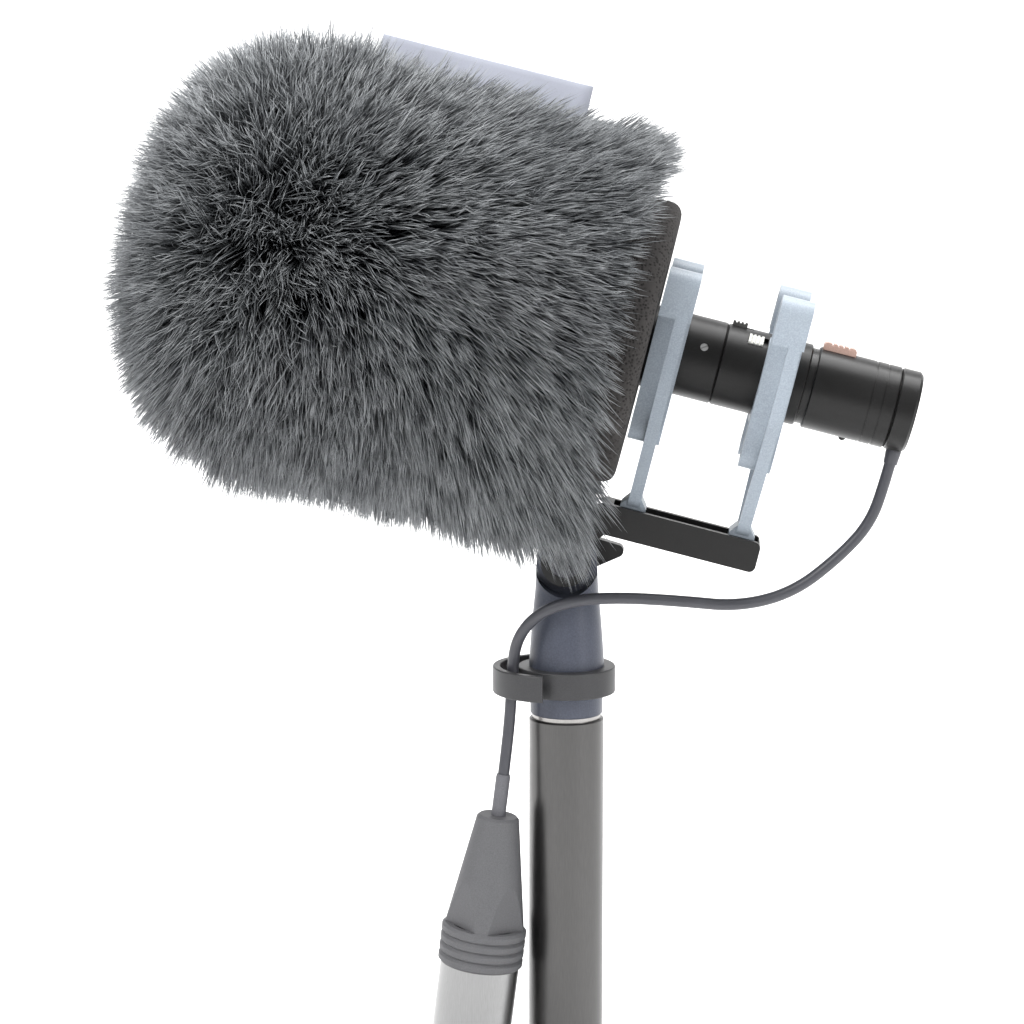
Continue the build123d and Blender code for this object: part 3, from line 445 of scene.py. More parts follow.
def make_foam(finish):
    """The foam body and its rear ring, with the bore for the microphone."""
    nose = arc(NOSE_CENTRE, FOAM_NOSE_R, 0, 90, 12)
    core_outline = [(RING_FRONT, MIC_R), (RING_FRONT, FOAM_R), *nose]
    core_outline += [(FOAM_FRONT, 0), (BORE_END, 0), (BORE_END, MIC_R)]
    core = as_piece(
        "foam_body", turned_shape(core_outline), "windscreen", finish["foam"],
        onto_microphone(),
    )
    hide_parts("foam_core")
    rim = arc((-RIM_R, FOAM_R - RIM_R), RIM_R, -90, 0, 6)
    inner_rim = [(0, MIC_R + BORE_CHAMFER), (-BORE_CHAMFER, MIC_R)]
    ring_outline = [(RING_FRONT, FOAM_R), (RING_FRONT, MIC_R), *reversed(inner_rim), *rim]
    ring_shape = turned_shape(ring_outline, 128)
    ring = as_piece(
        "foam_ring", ring_shape, "windscreen", finish["rear_foam"], onto_microphone()
    )
    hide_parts("foam_rear_ring")


CLOTH, CLOTH_GAP = 1.0 * MM, 0.3 * MM  # the cloth's thickness, and its space round the foam
HEM_FRONT, HEM_REAR = -15 * MM, -9 * MM
HEM_LOW, HEM_HIGH = FOAM_R + 0.1 * MM, FOAM_R + 1.6 * MM


def make_backing(finish):
    """The knitted cloth that the hairs are anchored in, and its bound hem."""
    inner = arc(NOSE_CENTRE, FOAM_NOSE_R + CLOTH_GAP, 0, 90, 16)
    outer = arc(NOSE_CENTRE, FOAM_NOSE_R + CLOTH_GAP + CLOTH, 90, 0, 16)
    outline = [(HEM_FRONT, FOAM_R + CLOTH_GAP), *inner, (inner[-1][0], 0)]
    outline += [(outer[0][0], 0), *outer, (HEM_FRONT, FOAM_R + CLOTH_GAP + CLOTH)]
    as_piece(
        "fur_backing", turned_shape(outline), "windscreen", finish["fur_cloth"],
        onto_microphone(),
    )
    half_width = (HEM_REAR - HEM_FRONT) / 2
    hem_middle = (HEM_FRONT + HEM_REAR) / 2
    round_r = (HEM_HIGH - HEM_LOW) / 2
    hem_outline = [
        (hem_middle + (half_width - round_r) * side + round_r * math.sin(t) * side,
         (HEM_LOW + HEM_HIGH) / 2 + round_r * math.cos(t) * side)
        for side in (1, -1)
        for t in [math.pi * step / 6 for step in range(7)]
    ]
    hem = as_piece(
        "hem_binding", turned_shape(hem_outline, 128), "windscreen",
        finish["hem_tape"], onto_microphone(),
    )
    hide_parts("rear_hem")


# ---- the fur -------------------------------------------------------------------------------

WHORL = -88 * MM  # where the hairs stand straight out
LEAN = (  # place along the foam, lean towards the rear in degrees
    (-104 * MM, -6), (-95 * MM, -3), (WHORL, 2), (-75 * MM, 17), (-60 * MM, 28), (-40 * MM, 38),
    (-25 * MM, 41), (-15 * MM, 37),
)
LENGTHS = (  # place along the foam, share of the pile's length on top and at the sides
    (-104 * MM, 0.81), (-95 * MM, 0.82), (-84 * MM, 0.89), (-60 * MM, 1.0), (-40 * MM, 0.98),
    (-25 * MM, 0.9), (-15 * MM, 0.75),
)
UNDER_LENGTHS = (  # the same underneath
    (-104 * MM, 0.82), (-92 * MM, 0.98), (-82 * MM, 1.02), (-70 * MM, 0.93), (-50 * MM, 0.93),
    (-30 * MM, 1.08), (-15 * MM, 1.15),
)
HAIR_SIDES = 3
HEIGHTS = (0.0, 0.3, 0.55, 0.8, 1.0)  # rings of a hair, as shares of its length
WIDTHS = (1.0, 1.0, 1.0, 0.85, 0.15)  # its width at each ring
TONES = 32  # columns of the hairs' map
ROOT_END = -14.5 * MM  # the rearmost roots
FLAG = (-76 * MM, -26.6 * MM, 53.9 * MM)  # front, rear and top of the label

UNDER_EDGE = 0.15  # hairs hang from this far above level, as a cosine
REAR, TAIL = (-70 * MM, -30 * MM), (-55 * MM, -20 * MM)  # from none to all, along the foam
UNDER_UPRIGHT = 0.85  # share of their lean that the hanging hairs lose, but at the tail
TAIL_LEAN = 14  # degrees that they gain there
HANG, REAR_HANG, TAIL_HOLD = 0.35, 0.65, 0.45  # weight underneath, more of it, and less
WILD_LEAN, WILD_UNDER, WILD = 22, 1.4, 1.8  # hairs that lean less than this go their own way
CROWN_EDGE, CROWN_FADE, CROWN_SHORT = 0.75, 0.2, 0.1  # shorter hairs on top, beside the label
PARTING_HALF, PARTING_AHEAD, PARTING = 9 * MM, 14 * MM, 0.42  # hairs lean away from the label
BELLY_FRONT, BELLY_HALF, BELLY_PARTING = -50 * MM, 24 * MM, 0.9  # and from the swivel's arm

LABEL_ROOM, LABEL_SIDE = 1 * MM, 0.9 * MM  # at the label's ends, and from its middle plane
ARM_FRONT, ARM_TOP, ARM_NEAR, ARM_FAR = -16 * MM, -35 * MM, -9.5 * MM, 12.5 * MM
BAR_FRONT, BAR_TOP, BAR_HALF = -4 * MM, -34 * MM, 10 * MM
RING_ROOM = 1 * MM

TUFT_HAIRS = 5
SPARE = 2  # hairs drawn for each one that is kept
SWELL_WAVES, SWELL_SIZE, SWELL = 24, 6 * MM, 0.15  # slow changes of tone from tuft to tuft
TUFT_PUSH, OWN_PUSH = 0.12, 0.08  # how far tufts and hairs stray from the comb
TUFT_LENGTHS, OWN_LENGTHS = (0.84, 1.06), (0.72, 1.0)
TUFT_SPREAD = 0.9 * MM
SMALLEST_R = 4 * MM  # hairs nearer to the axis are spread as if they stood here
PULLS, PULL_BEND = (0.2, 0.75), 1.5  # how far a hair's tip is drawn to its tuft's middle
THICKNESSES = (0.7, 1.15)
TUFT_TONE, OWN_TONE, TONE_BEND = 0.4, 0.6, 1.3


def hair_shape():
    """One hair as a three-sided stalk: its corners' ring and angle, its faces, its UV corners."""
    shape = bmesh.new()
    bmesh.ops.create_cone(
        shape, cap_ends=True, segments=HAIR_SIDES, radius1=1, radius2=0, depth=1,
        matrix=Matrix.Translation((0, 0, 0.5)),
    )
    bmesh.ops.remove_doubles(shape, verts=shape.verts, dist=1e-5)
    for height in HEIGHTS[1:-1]:
        geometry = shape.verts[:] + shape.edges[:] + shape.faces[:]
        bmesh.ops.bisect_plane(shape, geom=geometry, plane_co=(0, 0, height), plane_no=(0, 0, 1))
    bmesh.ops.recalc_face_normals(shape, faces=shape.faces)
    shape.verts.index_update()
    corners = np.array([v.co for v in shape.verts])
    ring = np.abs(corners[:, 2:] - np.array(HEIGHTS)).argmin(axis=1)
    angle = np.arctan2(corners[:, 1], corners[:, 0])
    faces = [[v.index for v in face.verts] for face in shape.faces]
    around = np.round(angle / (2 * math.pi / HAIR_SIDES) + HAIR_SIDES).astype(int) % HAIR_SIDES
    sheet = []
    for face in faces:
        steps = [around[v] for v in face if ring[v] < len(HEIGHTS) - 1]
        wraps = {0, HAIR_SIDES - 1} <= set(steps) and 1 not in steps
        for v in face:
            step = around[v] if ring[v] < len(HEIGHTS) - 1 else min(steps)
            step = HAIR_SIDES if wraps and step == 0 else step
            sheet.append((step / HAIR_SIDES, HEIGHTS[ring[v]]))
    shape.free()
    return ring, angle, faces, np.array(sheet)


def along_table(place, table):
    """The table's value at each place along the foam."""
    return np.interp(place, *zip(*table))


def unit(vectors):
    return vectors / np.maximum(np.linalg.norm(vectors, axis=-1, keepdims=True), 1e-9)


def roots(count, draw):
    """Random places on the cloth: along it, out from its axis, its tilt there and the way round."""
    side = np.linspace(ROOT_END, NOSE_CENTRE[0], 60)
    turn = np.linspace(0, math.pi / 2, 30)
    face = np.linspace(NOSE_CENTRE[1], 0, 20)
    a = np.concatenate([side, NOSE_CENTRE[0] - FOAM_NOSE_R * np.sin(turn), face * 0 + FOAM_FRONT])
    r = np.concatenate([side * 0 + FOAM_R, NOSE_CENTRE[1] + FOAM_NOSE_R * np.cos(turn), face])
    tilt = np.concatenate([side * 0, turn, face * 0 + math.pi / 2])
    step = np.hypot(np.diff(a), np.diff(r)) * (r[1:] + r[:-1]) / 2
    area = np.concatenate([[0], np.cumsum(step)])
    pick = draw.random(count) * area[-1]
    place = [np.interp(pick, area, values) for values in (a, r, tilt)]
    return [*place, draw.random(count) * 2 * math.pi]


def parted(a, r, way):
    """How far each hair is turned aside by the label above it, or by the swivel's arm below."""
    sideways, off_middle = np.sign(np.sin(way)), np.abs(r * np.sin(way))
    top = (off_middle < PARTING_HALF) & (np.cos(way) > 0)
    beside_label = top & (a > FLAG[0] - PARTING_AHEAD) & (a < FLAG[1])
    below = (np.cos(way) < 0) & (a > BELLY_FRONT)
    spread = np.clip(1 - off_middle / BELLY_HALF, 0, 1)
    aside = np.where(beside_label, PARTING, 0) * sideways
    aside = aside + np.where(below, BELLY_PARTING * spread, 0) * sideways
    return aside[:, None] * np.array(across)


def combed(a, r, tilt, way, push, length):
    """Points of each hair from its root, bent by the comb, its own push and its weight."""
    axis, high, side = (np.array(v) for v in (along, up, across))
    out = high * np.cos(way)[:, None] + side * np.sin(way)[:, None]
    normal = out * np.cos(tilt)[:, None] - axis * np.sin(tilt)[:, None]
    rearward = axis * np.cos(tilt)[:, None] + out * np.sin(tilt)[:, None]
    root = np.array(head_centre) + axis * a[:, None] + out * (r + CLOTH / 2)[:, None]
    root -= axis * (CLOTH / 2 * np.sin(tilt))[:, None]
    under = np.clip(UNDER_EDGE - np.cos(way), 0, 1)  # 1 under the windscreen, where hairs hang
    rear, tail = np.interp(a, REAR, (0, 1)), np.interp(a, TAIL, (0, 1))
    lean = np.radians(along_table(a, LEAN)) * (1 - UNDER_UPRIGHT * under * (1 - tail))
    lean = lean + np.radians(TAIL_LEAN) * under * tail
    under_share = along_table(a, UNDER_LENGTHS) / along_table(a, LENGTHS)
    length = length * (1 + (under_share - 1) * under)
    hang = under * (HANG + REAR_HANG * rear) * (1 - TAIL_HOLD * tail)
    wild = np.clip(1 - np.abs(np.degrees(lean)) / WILD_LEAN, 0, 1)
    wild = wild * np.clip(WILD_UNDER - under, 0, 1)
    push = push * (1 + WILD * wild)[:, None]
    crown = np.clip((np.cos(way) - CROWN_EDGE) / CROWN_FADE, 0, 1)
    length = length * (1 - CROWN_SHORT * (crown * ((a > FLAG[0]) & (a < FLAG[1]))))
    parting = parted(a, r, way)
    points = [root]
    for start, end in zip(HEIGHTS, HEIGHTS[1:]):
        middle = (start + end) / 2
        bend = lean * (0.55 + 0.75 * middle)
        way_on = normal * np.cos(bend)[:, None] + rearward * np.sin(bend)[:, None]
        weight = (0.06 + 0.12 * middle + hang * (0.25 + 1.1 * middle))[:, None]
        way_on = way_on + push * (0.4 + middle) + parting * (0.3 + middle)
        way_on = unit(way_on + weight * np.array([0, 0, -1.0]))
        points.append(points[-1] + way_on * (length * (end - start))[:, None])
    return np.stack(points, axis=1)


def patchy(places, waves):
    """A slow random swell over the places, about -1 to 1."""
    turns, starts = waves
    return np.sin(places @ turns.T + starts).sum(-1) / math.sqrt(len(starts) / 2)


def in_head(points):
    """Along, up and across for points in the frame."""
    away = points - np.array(head_centre)
    return away @ np.array(along), away @ np.array(up), away @ np.array(across)


def clear_of_others(points, near_side):
    """Keeps hairs off the label and off the arm and swivel that the windscreen is held by."""
    a, n, y = in_head(points)
    label = (n > FOAM_R) & (a > FLAG[0] - LABEL_ROOM) & (a < FLAG[1] + LABEL_ROOM)
    aside = np.sign(near_side)[:, None] * np.maximum(np.abs(y), LABEL_SIDE)
    points[..., 1] = np.where(label, aside, points[..., 1])
    arm = (a > ARM_FRONT) & (n < ARM_TOP) & (y > ARM_NEAR) & (y < ARM_FAR)
    bar = (a > BAR_FRONT) & (n < BAR_TOP) & (np.abs(y) < BAR_HALF)
    foam = (a > -RING_ROOM) & (np.hypot(n, y) < FOAM_R + RING_ROOM)
    return ~(arm | bar | foam).any(axis=1)


def drawn_hairs(pile, draw, waves):
    """The points of one patch's hairs, and each hair's share of its tuft's tone."""
    tuft_count, hair_count = pile.strands // TUFT_HAIRS, SPARE * pile.strands
    a, r, tilt, way = roots(tuft_count, draw)
    tuft_push = draw.normal(0, TUFT_PUSH, (tuft_count, 3))
    tuft_length = draw.uniform(*TUFT_LENGTHS, tuft_count)
    swell = patchy(np.stack([a, r * np.cos(way), r * np.sin(way)], -1), waves)
    tuft_tone = np.clip(draw.random(tuft_count) + SWELL * swell, 0, 1)
    own = draw.integers(0, tuft_count, hair_count)
    around = draw.normal(0, TUFT_SPREAD, (hair_count, 2))
    hair_a = np.clip(a[own] + around[:, 0] * np.cos(tilt[own]), FOAM_FRONT, ROOT_END)
    hair_r = np.clip(r[own] - around[:, 0] * np.sin(tilt[own]), 0, FOAM_R)
    hair_way = way[own] + around[:, 1] / np.maximum(hair_r, SMALLEST_R)
    length = pile.length * along_table(hair_a, LENGTHS) * tuft_length[own]
    length = length * draw.uniform(*OWN_LENGTHS, hair_count)
    push = tuft_push[own] + draw.normal(0, OWN_PUSH, (hair_count, 3))
    hairs = combed(hair_a, hair_r, tilt[own], hair_way, push, length)
    guide_length = pile.length * along_table(a, LENGTHS) * tuft_length
    guides = combed(a, r, tilt, way, tuft_push, guide_length)
    pull = draw.uniform(*PULLS, hair_count)[:, None, None]
    hairs += (guides[own] - hairs) * (pull * np.array(HEIGHTS)[None, :, None] ** PULL_BEND)
    keep = np.flatnonzero(clear_of_others(hairs, np.sin(hair_way)))[: pile.strands]
    return hairs[keep], tuft_tone[own[keep]]


def stalks(hairs, ring, angle, thick, draw):
    """The corners of a stalk along each hair, turned a random way round it."""
    chord = unit(hairs[:, -1] - hairs[:, 1])
    first = unit(np.cross(chord, draw.normal(0, 1, (len(hairs), 3))))
    second = np.cross(chord, first)
    thick = thick * draw.uniform(*THICKNESSES, len(hairs))
    spoke = first[:, None] * np.cos(angle)[None, :, None]
    spoke = spoke + second[:, None] * np.sin(angle)[None, :, None]
    return hairs[:, ring] + spoke * (thick[:, None] * np.array(WIDTHS)[ring])[..., None]


def make_fur(pile, material):
    """The pile: tapered hairs in tufts, combed back from the whorl and hanging below."""
    draw = np.random.default_rng(pile.seed)
    ring, angle, faces, sheet = hair_shape()
    waves = draw.normal(0, 1 / SWELL_SIZE, (SWELL_WAVES, 3)), draw.random(SWELL_WAVES) * 2 * math.pi
    for patch in range(pile.patches):
        hairs, tuft_tone = drawn_hairs(pile, draw, waves)
        corners = stalks(hairs, ring, angle, pile.thickness, draw)
        tone = (TUFT_TONE * tuft_tone + OWN_TONE * draw.random(len(hairs))) ** TONE_BEND
        starts = np.arange(len(hairs)) * len(ring)
        every_face = [(np.array(face)[None] + starts[:, None]).tolist() for face in faces]
        by_hair = [row for rows in zip(*every_face) for row in rows]
        mesh = bpy.data.meshes.new(f"fur_patch_{patch + 1}")
        mesh.from_pydata(corners.reshape(-1, 3).tolist(), [], by_hair)
        column = np.floor(tone * TONES).clip(0, TONES - 1)
        u = (column[:, None] + 0.1 + 0.8 * sheet[None, :, 0]) / TONES
        v = np.broadcast_to(sheet[None, :, 1], u.shape)
        layer = mesh.uv_layers.new(name="OFBake")
        layer.data.foreach_set("uv", np.stack([u, v], -1).astype(np.float32).ravel())
        mesh.polygons.foreach_set("use_smooth", [True] * len(mesh.polygons))
        mesh.materials.append(material)
        piece = bpy.data.objects.new(mesh.name, mesh)
        bpy.context.scene.collection.objects.link(piece)
        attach(piece, "windscreen")
        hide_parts("fur_cover")


# ---- the cable -----------------------------------------------------------------------------

EXIT_A = 60.4 * MM
EXIT_HEIGHTS = (-7.5 * MM, -17 * MM)  # inside the connector, and straight out of it
CABLE_ROUTE = (  # millimetres, with heights above the adaptor's foot
    (69.9, -0.3, 45.6),
    (62.6, -1.0, 37.6),
    (52.4, -2.2, 29.6),
    (40.0, -4.2, 26.5),
    (26.5, -6.8, 28.1),
    (13.0, -9.6, 29.2),
    (2.5, -11.2, 28.8),
    (-6.2, -10.6, 25.4),
    (-11.4, -7.6, 18.5),
    (-12.4, -4.8, 9.3),
    (-12.9, -4.9, -0.5),
    (-13.8, -5.9, -9.5),
    (-15.5, -6.5, -23.4),
)
PLUG_LEAN = math.radians(7)
CABLE_IN_PLUG = 10 * MM


def cable_points():
    """The cable's route from inside the connector to inside the plug."""
    points = [head_point(EXIT_A, height) for height in EXIT_HEIGHTS]
    points += [Vector(point) * MM + Vector((0, 0, pole_top)) for point in CABLE_ROUTE]
    into_plug = Vector((-math.sin(PLUG_LEAN), 0, -math.cos(PLUG_LEAN)))
    return points + [points[-1] + into_plug * CABLE_IN_PLUG]


def smooth_line(name, points, radius=0.0):
    """A NURBS curve guided by the points, as a mesh: its line, or a capped tube of that radius."""
    curve = bpy.data.curves.new(name, "CURVE")
    curve.dimensions = "3D"
    curve.resolution_u = 12
    curve.bevel_depth, curve.bevel_resolution, curve.use_fill_caps = radius, 6, radius > 0
    spline = curve.splines.new("NURBS")
    spline.points.add(len(points) - 1)
    for knot, point in zip(spline.points, points):
        knot.co = (*point, 1)
    spline.order_u = 3
    spline.use_endpoint_u = True
    holder = bpy.data.objects.new(name, curve)
    bpy.context.scene.collection.objects.link(holder)
    bpy.context.view_layer.update()
    mesh = bpy.data.meshes.new_from_object(holder)
    bpy.data.objects.remove(holder)
    return mesh


def make_cable(cable, finish):
    """The cable from the connector, round the swivel, through the clip and into the plug."""
    points = cable_points()
    line = smooth_line("cable_line", points)
    tube = smooth_line("cable_lead", points, cable.diameter / 2)
    shape = bmesh.new()
    shape.from_mesh(tube)
    bmesh.ops.remove_doubles(shape, verts=shape.verts, dist=MERGE)
    bmesh.ops.recalc_face_normals(shape, faces=shape.faces)
    lead = as_piece("cable_lead", shape, None, finish["cable_jacket"])
    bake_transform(lead)
    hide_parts("cable")
    on_cable = ["cable_sleeve", "cable_grommet", "plug_boot", "plug_collar", "plug_shell"]
    on_cable += ["plug_insert", "plug_pins"]


# ---- suspension ----------------------------------------------------------------------------

LYRES = {"lyre_front": 5.9 * MM, "lyre_rear": 31.7 * MM}
FLAT_TURN, SHARP_TURN = math.radians(1.5), 0.7  # faces that are one, and edges that are softened
LYRE_EDGE = 0.28 * MM


def make_lyres(finish):
    """The two folded suspension strips, softened at their edges."""
    for node, place in LYRES.items():
        shape = bmesh.new()
        shape.from_mesh(frame["nodes"][node].data)
        bmesh.ops.remove_doubles(shape, verts=shape.verts, dist=MERGE)
        bmesh.ops.dissolve_limit(
            shape, angle_limit=FLAT_TURN, verts=shape.verts, edges=shape.edges
        )
        inner = [edge for edge in shape.edges if len(edge.link_faces) == 2]
        sharp = [edge for edge in inner if edge.calc_face_angle(0) > SHARP_TURN]
        bmesh.ops.bevel(
            shape, geom=sharp, offset=LYRE_EDGE, offset_type="OFFSET", segments=2, profile=0.5,
            affect="EDGES", clamp_overlap=True, material=-1,
        )
        bmesh.ops.triangulate(shape, faces=shape.faces)
        piece = as_piece(
            node.replace("lyre", "suspension"), shape, None,
            finish["lyre_plastic"], smooth=False,
        )
        head_point(place, -31 * MM)
        head_point(place, -20 * MM)
        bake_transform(piece)
        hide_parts(node)


LEAF_MIDDLE = 42.6 * MM
LEAF_FOOT, LEAF_TOP = 5.9 * MM, 7.35 * MM  # up from the microphone's axis


def make_latch_leaf(finish):
    """The leaf spring under the latch button."""
    shape = bmesh.new()
    shape.from_mesh(frame["nodes"]["latch_spring"].data)
    bmesh.ops.remove_doubles(shape, verts=shape.verts, dist=MERGE)
    leaf = as_piece("latch_leaf", shape, None, finish["steel"], smooth=False)
    foot, top = head_point(LEAF_MIDDLE, LEAF_FOOT), head_point(LEAF_MIDDLE, LEAF_TOP)
    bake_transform(leaf)
    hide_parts("latch_spring")


# ---- label ---------------------------------------------------------------------------------

LABEL_LOW = FOAM_R + 1.5 * MM
LABEL_HALF, TAPE = 0.22 * MM, 0.16 * MM  # half of its two layers, and one layer's thickness
FOLD_TURNS = (0.8, 1.57, 2.3)  # radians round the fold
LONG_WAVE, SLANT_WAVE = (0.35, 9 * MM), (0.25, 5 * MM)  # millimetres aside, and the wave's size


def make_label(finish):
    """The blank label in the seam: one tape folded over at its top edge."""
    front, rear, top = FLAG
    low, half = LABEL_LOW, LABEL_HALF
    shape = bmesh.new()
    outline = [(low, -half), (top - half, -half)]
    outline += [(top - half + half * math.sin(t), -half * math.cos(t)) for t in FOLD_TURNS]
    outline += [(top - half, half), (low, half)]
    corners = [shape.verts.new(head_point(front, n, y)) for n, y in outline]
    edges = [shape.edges.new(pair) for pair in zip(corners, corners[1:])]
    swept = bmesh.ops.extrude_edge_only(shape, edges=edges)
    moved = [v for v in swept["geom"] if isinstance(v, bmesh.types.BMVert)]
    bmesh.ops.translate(shape, vec=along * (rear - front), verts=moved)
    long_edges = [e for e in shape.edges if e.calc_length() > 10 * MM]
    bmesh.ops.subdivide_edges(shape, edges=long_edges, cuts=15, use_grid_fill=True)
    bmesh.ops.recalc_face_normals(shape, faces=shape.faces)
    for v in shape.verts:
        a, n, y = in_head(np.array(v.co))
        wave = LONG_WAVE[0] * math.sin((a - front) / LONG_WAVE[1])
        wave += SLANT_WAVE[0] * math.sin((a + n) / SLANT_WAVE[1])
        v.co += across * wave * MM * (n - low) / (top - low)
    area = sum(f.calc_area() for f in shape.faces)
    bmesh.ops.solidify(shape, geom=shape.faces[:], thickness=TAPE)
    label = as_piece("label_tape", shape, "windscreen", finish["label"])
    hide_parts("label_flag")
    flat = (rear - front, area / (rear - front))


# ---- stage ---------------------------------------------------------------------------------

FLOOR_FRONT, FLOOR_BACK, FLOOR_HALF = -3.0, 2.2, 5
FLOOR_BEND, BACKDROP_TOP = 1.2, 6.0
BEND_STEPS = 16
OBJECT_MIDDLE, BACKDROP_MIDDLE = (0, 0, 0.17), (0, 3.2, 0.4)
ROOM_LIGHT = 0.5
LIGHTS = (  # name, place, what it points at, width and height, watts
    ("key", (-0.8, -1.0, 1.4), OBJECT_MIDDLE, (0.8, 0.8), 30),
    ("fill", (1.2, -0.8, 0.7), OBJECT_MIDDLE, (0.3, 1.0), 9),
    ("top", (0.1, 0.2, 1.5), OBJECT_MIDDLE, (1.2, 0.8), 22),
    ("backdrop", (0.0, 1.0, 2.4), BACKDROP_MIDDLE, (3.0, 0.8), 120),
)
AIM_X, AIM_RISE = -12.8 * MM, 47.3 * MM  # the view's middle, its height above the pole's top
SENSOR = 36  # millimetres


def make_floor(stage):
    """A pale floor that curves up into the backdrop."""
    shape = bmesh.new()
    line = [(FLOOR_FRONT, 0), (FLOOR_BACK, 0)]
    line += [
        (FLOOR_BACK + FLOOR_BEND * math.sin(t), FLOOR_BEND - FLOOR_BEND * math.cos(t))
        for t in [math.pi / 2 * step / BEND_STEPS for step in range(1, BEND_STEPS + 1)]
    ]
    line.append((FLOOR_BACK + FLOOR_BEND, BACKDROP_TOP))
    points = [shape.verts.new((-FLOOR_HALF, y, z)) for y, z in line]
    edges = [shape.edges.new(pair) for pair in zip(points, points[1:])]
    swept = bmesh.ops.extrude_edge_only(shape, edges=edges)
    moved = [v for v in swept["geom"] if isinstance(v, bmesh.types.BMVert)]
    bmesh.ops.translate(shape, vec=(2 * FLOOR_HALF, 0, 0), verts=moved)
    bmesh.ops.recalc_face_normals(shape, faces=shape.faces)
    mesh = bpy.data.meshes.new("floor")
    shape.to_mesh(mesh)
    shape.free()
    mesh.polygons.foreach_set("use_smooth", [True] * len(mesh.polygons))
    paper = Finish("floor_paper", base_color=tuple(stage.floor), roughness=0.9)
    mesh.materials.append(paper.material)
    floor = bpy.data.objects.new("floor", mesh)
    bpy.context.scene.collection.objects.link(floor)


def make_light(name, place, aim, size, power):
    """A soft rectangular light that points at aim."""
    light = bpy.data.lights.new(name, "AREA")
    light.shape, light.size, light.size_y, light.energy = "RECTANGLE", size[0], size[1], power
    lamp = bpy.data.objects.new(name, light)
    lamp.location = place
    lamp.rotation_euler = (Vector(aim) - Vector(place)).to_track_quat("-Z", "Y").to_euler()
    bpy.context.scene.collection.objects.link(lamp)


def make_stage(stage):
    """The floor, soft studio lights and the camera."""
    make_floor(stage)
    world = bpy.data.worlds.new("studio")
    bpy.context.scene.world = world
    world.use_nodes = True
    background = world.node_tree.nodes["Background"]
    background.inputs["Color"].default_value = (1, 1, 1, 1)
    background.inputs["Strength"].default_value = ROOM_LIGHT
    for light in LIGHTS:
        make_light(*light)
    scene = bpy.context.scene
    scene.view_settings.view_transform = "Standard"
    lens = bpy.data.cameras.new("camera")
    lens.lens, lens.sensor_width = stage.lens, SENSOR
    lens.clip_start, lens.clip_end = 0.05, 30
    camera = bpy.data.objects.new("camera", lens)
    aim = Vector((AIM_X, 0, pole_top + AIM_RISE))
    back = Vector((0, -math.cos(stage.elevation), math.sin(stage.elevation)))
    back.rotate(Matrix.Rotation(stage.azimuth, 3, "Z"))
    camera.location = aim + back * stage.distance
    camera.rotation_mode = "QUATERNION"
    camera.rotation_quaternion = (-back).to_track_quat("-Z", "Y")
    scene.collection.objects.link(camera)
    scene.camera = camera


# ---- operators -----------------------------------------------------------------------------

made = {}


class WINDSCREEN_OT_finishes(bpy.types.Operator):
    """Makes the finishes and gives each carried-over node its own"""

    bl_idname = "windscreen.finishes"
    bl_label = "Make finishes"

    def execute(self, context):
        made.update(finishes())
        made["fur_hair"] = fur_finish(context.scene.windscreen_pile)
        made["fur_cloth"] = knit_finish("fur_cloth", (0.03, 0.03, 0.032), 0.6 * MM)
        for name, node in frame["nodes"].items():
            slot = slot_of[name]
            node.data.materials.clear()
            node.data.materials.append(made.get(slot) or made["fur_hair"])
        return {"FINISHED"}


class WINDSCREEN_OT_foam(bpy.types.Operator):
    """Makes the foam body, its rear ring and the cloth drawn over them"""

    bl_idname = "windscreen.foam"
    bl_label = "Make foam and cloth"

    def execute(self, context):
        make_foam(made)
        make_backing(made)
        return {"FINISHED"}


class WINDSCREEN_OT_fur(bpy.types.Operator):
    """Makes the long pile, hair by hair"""

    bl_idname = "windscreen.fur"
    bl_label = "Make fur"

    def execute(self, context):
        make_fur(context.scene.windscreen_pile, made["fur_hair"])
        return {"FINISHED"}


class WINDSCREEN_OT_label(bpy.types.Operator):
    """Makes the blank label that stands in the top seam"""

    bl_idname = "windscreen.label"
    bl_label = "Make label"

    def execute(self, context):
        make_label(made)
        return {"FINISHED"}


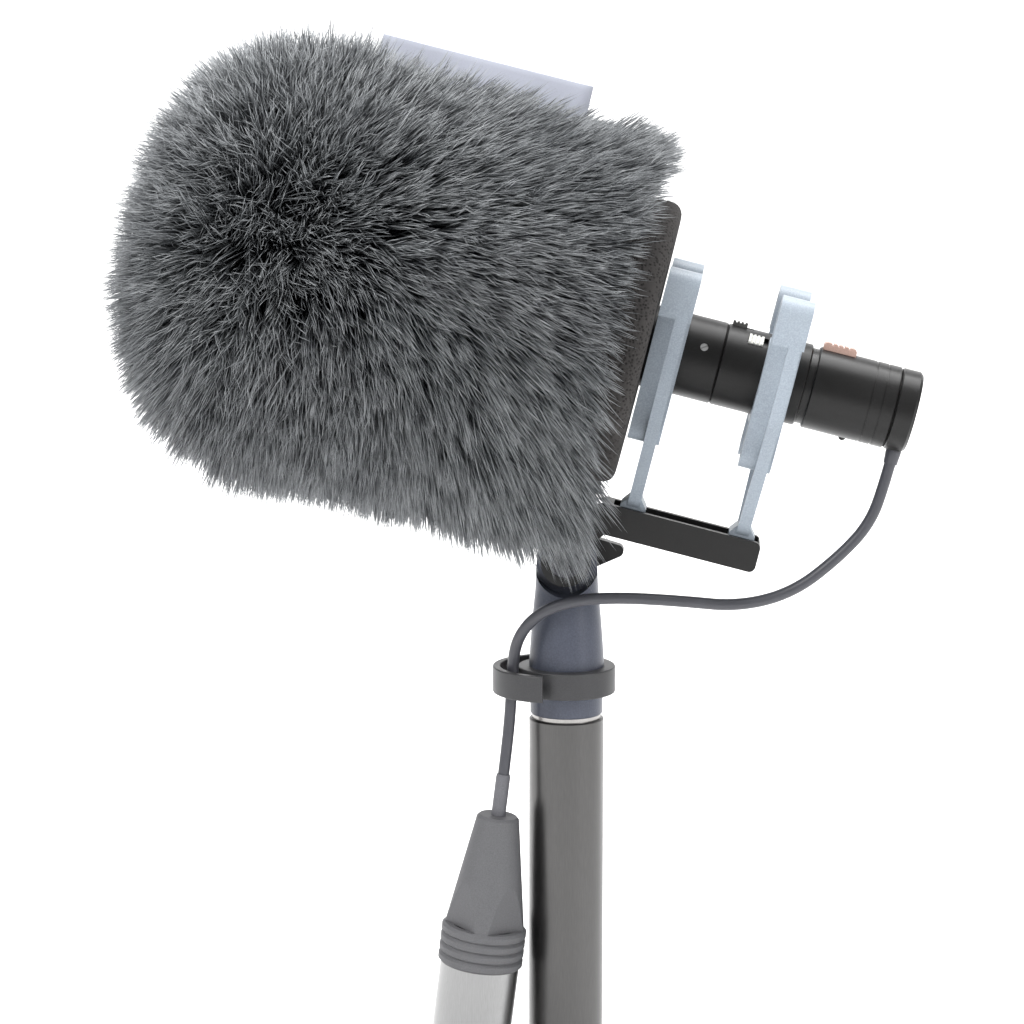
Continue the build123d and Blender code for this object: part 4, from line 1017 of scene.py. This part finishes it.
class WINDSCREEN_OT_suspension(bpy.types.Operator):
    """Makes the two springy lyres and the leaf spring under the latch"""

    bl_idname = "windscreen.suspension"
    bl_label = "Make suspension"

    def execute(self, context):
        make_lyres(made)
        make_latch_leaf(made)
        return {"FINISHED"}


class WINDSCREEN_OT_cable(bpy.types.Operator):
    """Makes the cable from the connector to its plug"""

    bl_idname = "windscreen.cable"
    bl_label = "Make cable"

    def execute(self, context):
        make_cable(context.scene.windscreen_cable, made)
        return {"FINISHED"}


class WINDSCREEN_OT_stage(bpy.types.Operator):
    """Sets the floor, the lights and the camera"""

    bl_idname = "windscreen.stage"
    bl_label = "Set the stage"

    def execute(self, context):
        make_stage(context.scene.windscreen_stage)
        return {"FINISHED"}


class WINDSCREEN_PT_panel(bpy.types.Panel):
    """Lists the settings and the steps in their order"""

    bl_label = "Furry windscreen"
    bl_space_type = "VIEW_3D"
    bl_region_type = "UI"
    bl_category = "Windscreen"

    def draw(self, context):
        for group in GROUPS:
            settings = getattr(context.scene, group)
            for name in settings.bl_rna.properties.keys()[2:]:
                self.layout.prop(settings, name)
        for operator in OPERATORS:
            self.layout.operator(operator.bl_idname)


GROUPS = {
    "windscreen_pile": WINDSCREEN_PG_pile,
    "windscreen_cable": WINDSCREEN_PG_cable,
    "windscreen_stage": WINDSCREEN_PG_stage,
}
OPERATORS = (
    WINDSCREEN_OT_finishes,
    WINDSCREEN_OT_stage,
    WINDSCREEN_OT_cable,
    WINDSCREEN_OT_suspension,
    WINDSCREEN_OT_foam,
    WINDSCREEN_OT_label,
    WINDSCREEN_OT_fur,
)


def register():
    for cls in (*GROUPS.values(), *OPERATORS, WINDSCREEN_PT_panel):
        bpy.utils.register_class(cls)
    for name, group in GROUPS.items():
        setattr(bpy.types.Scene, name, PointerProperty(type=group))


def unregister():
    for name in GROUPS:
        delattr(bpy.types.Scene, name)
    for cls in reversed((*GROUPS.values(), *OPERATORS, WINDSCREEN_PT_panel)):
        bpy.utils.unregister_class(cls)


def main():
    register()
    for operator in OPERATORS:
        group, action = operator.bl_idname.split(".")
        getattr(getattr(bpy.ops, group), action)()


if __name__ == "__main__":
    main()
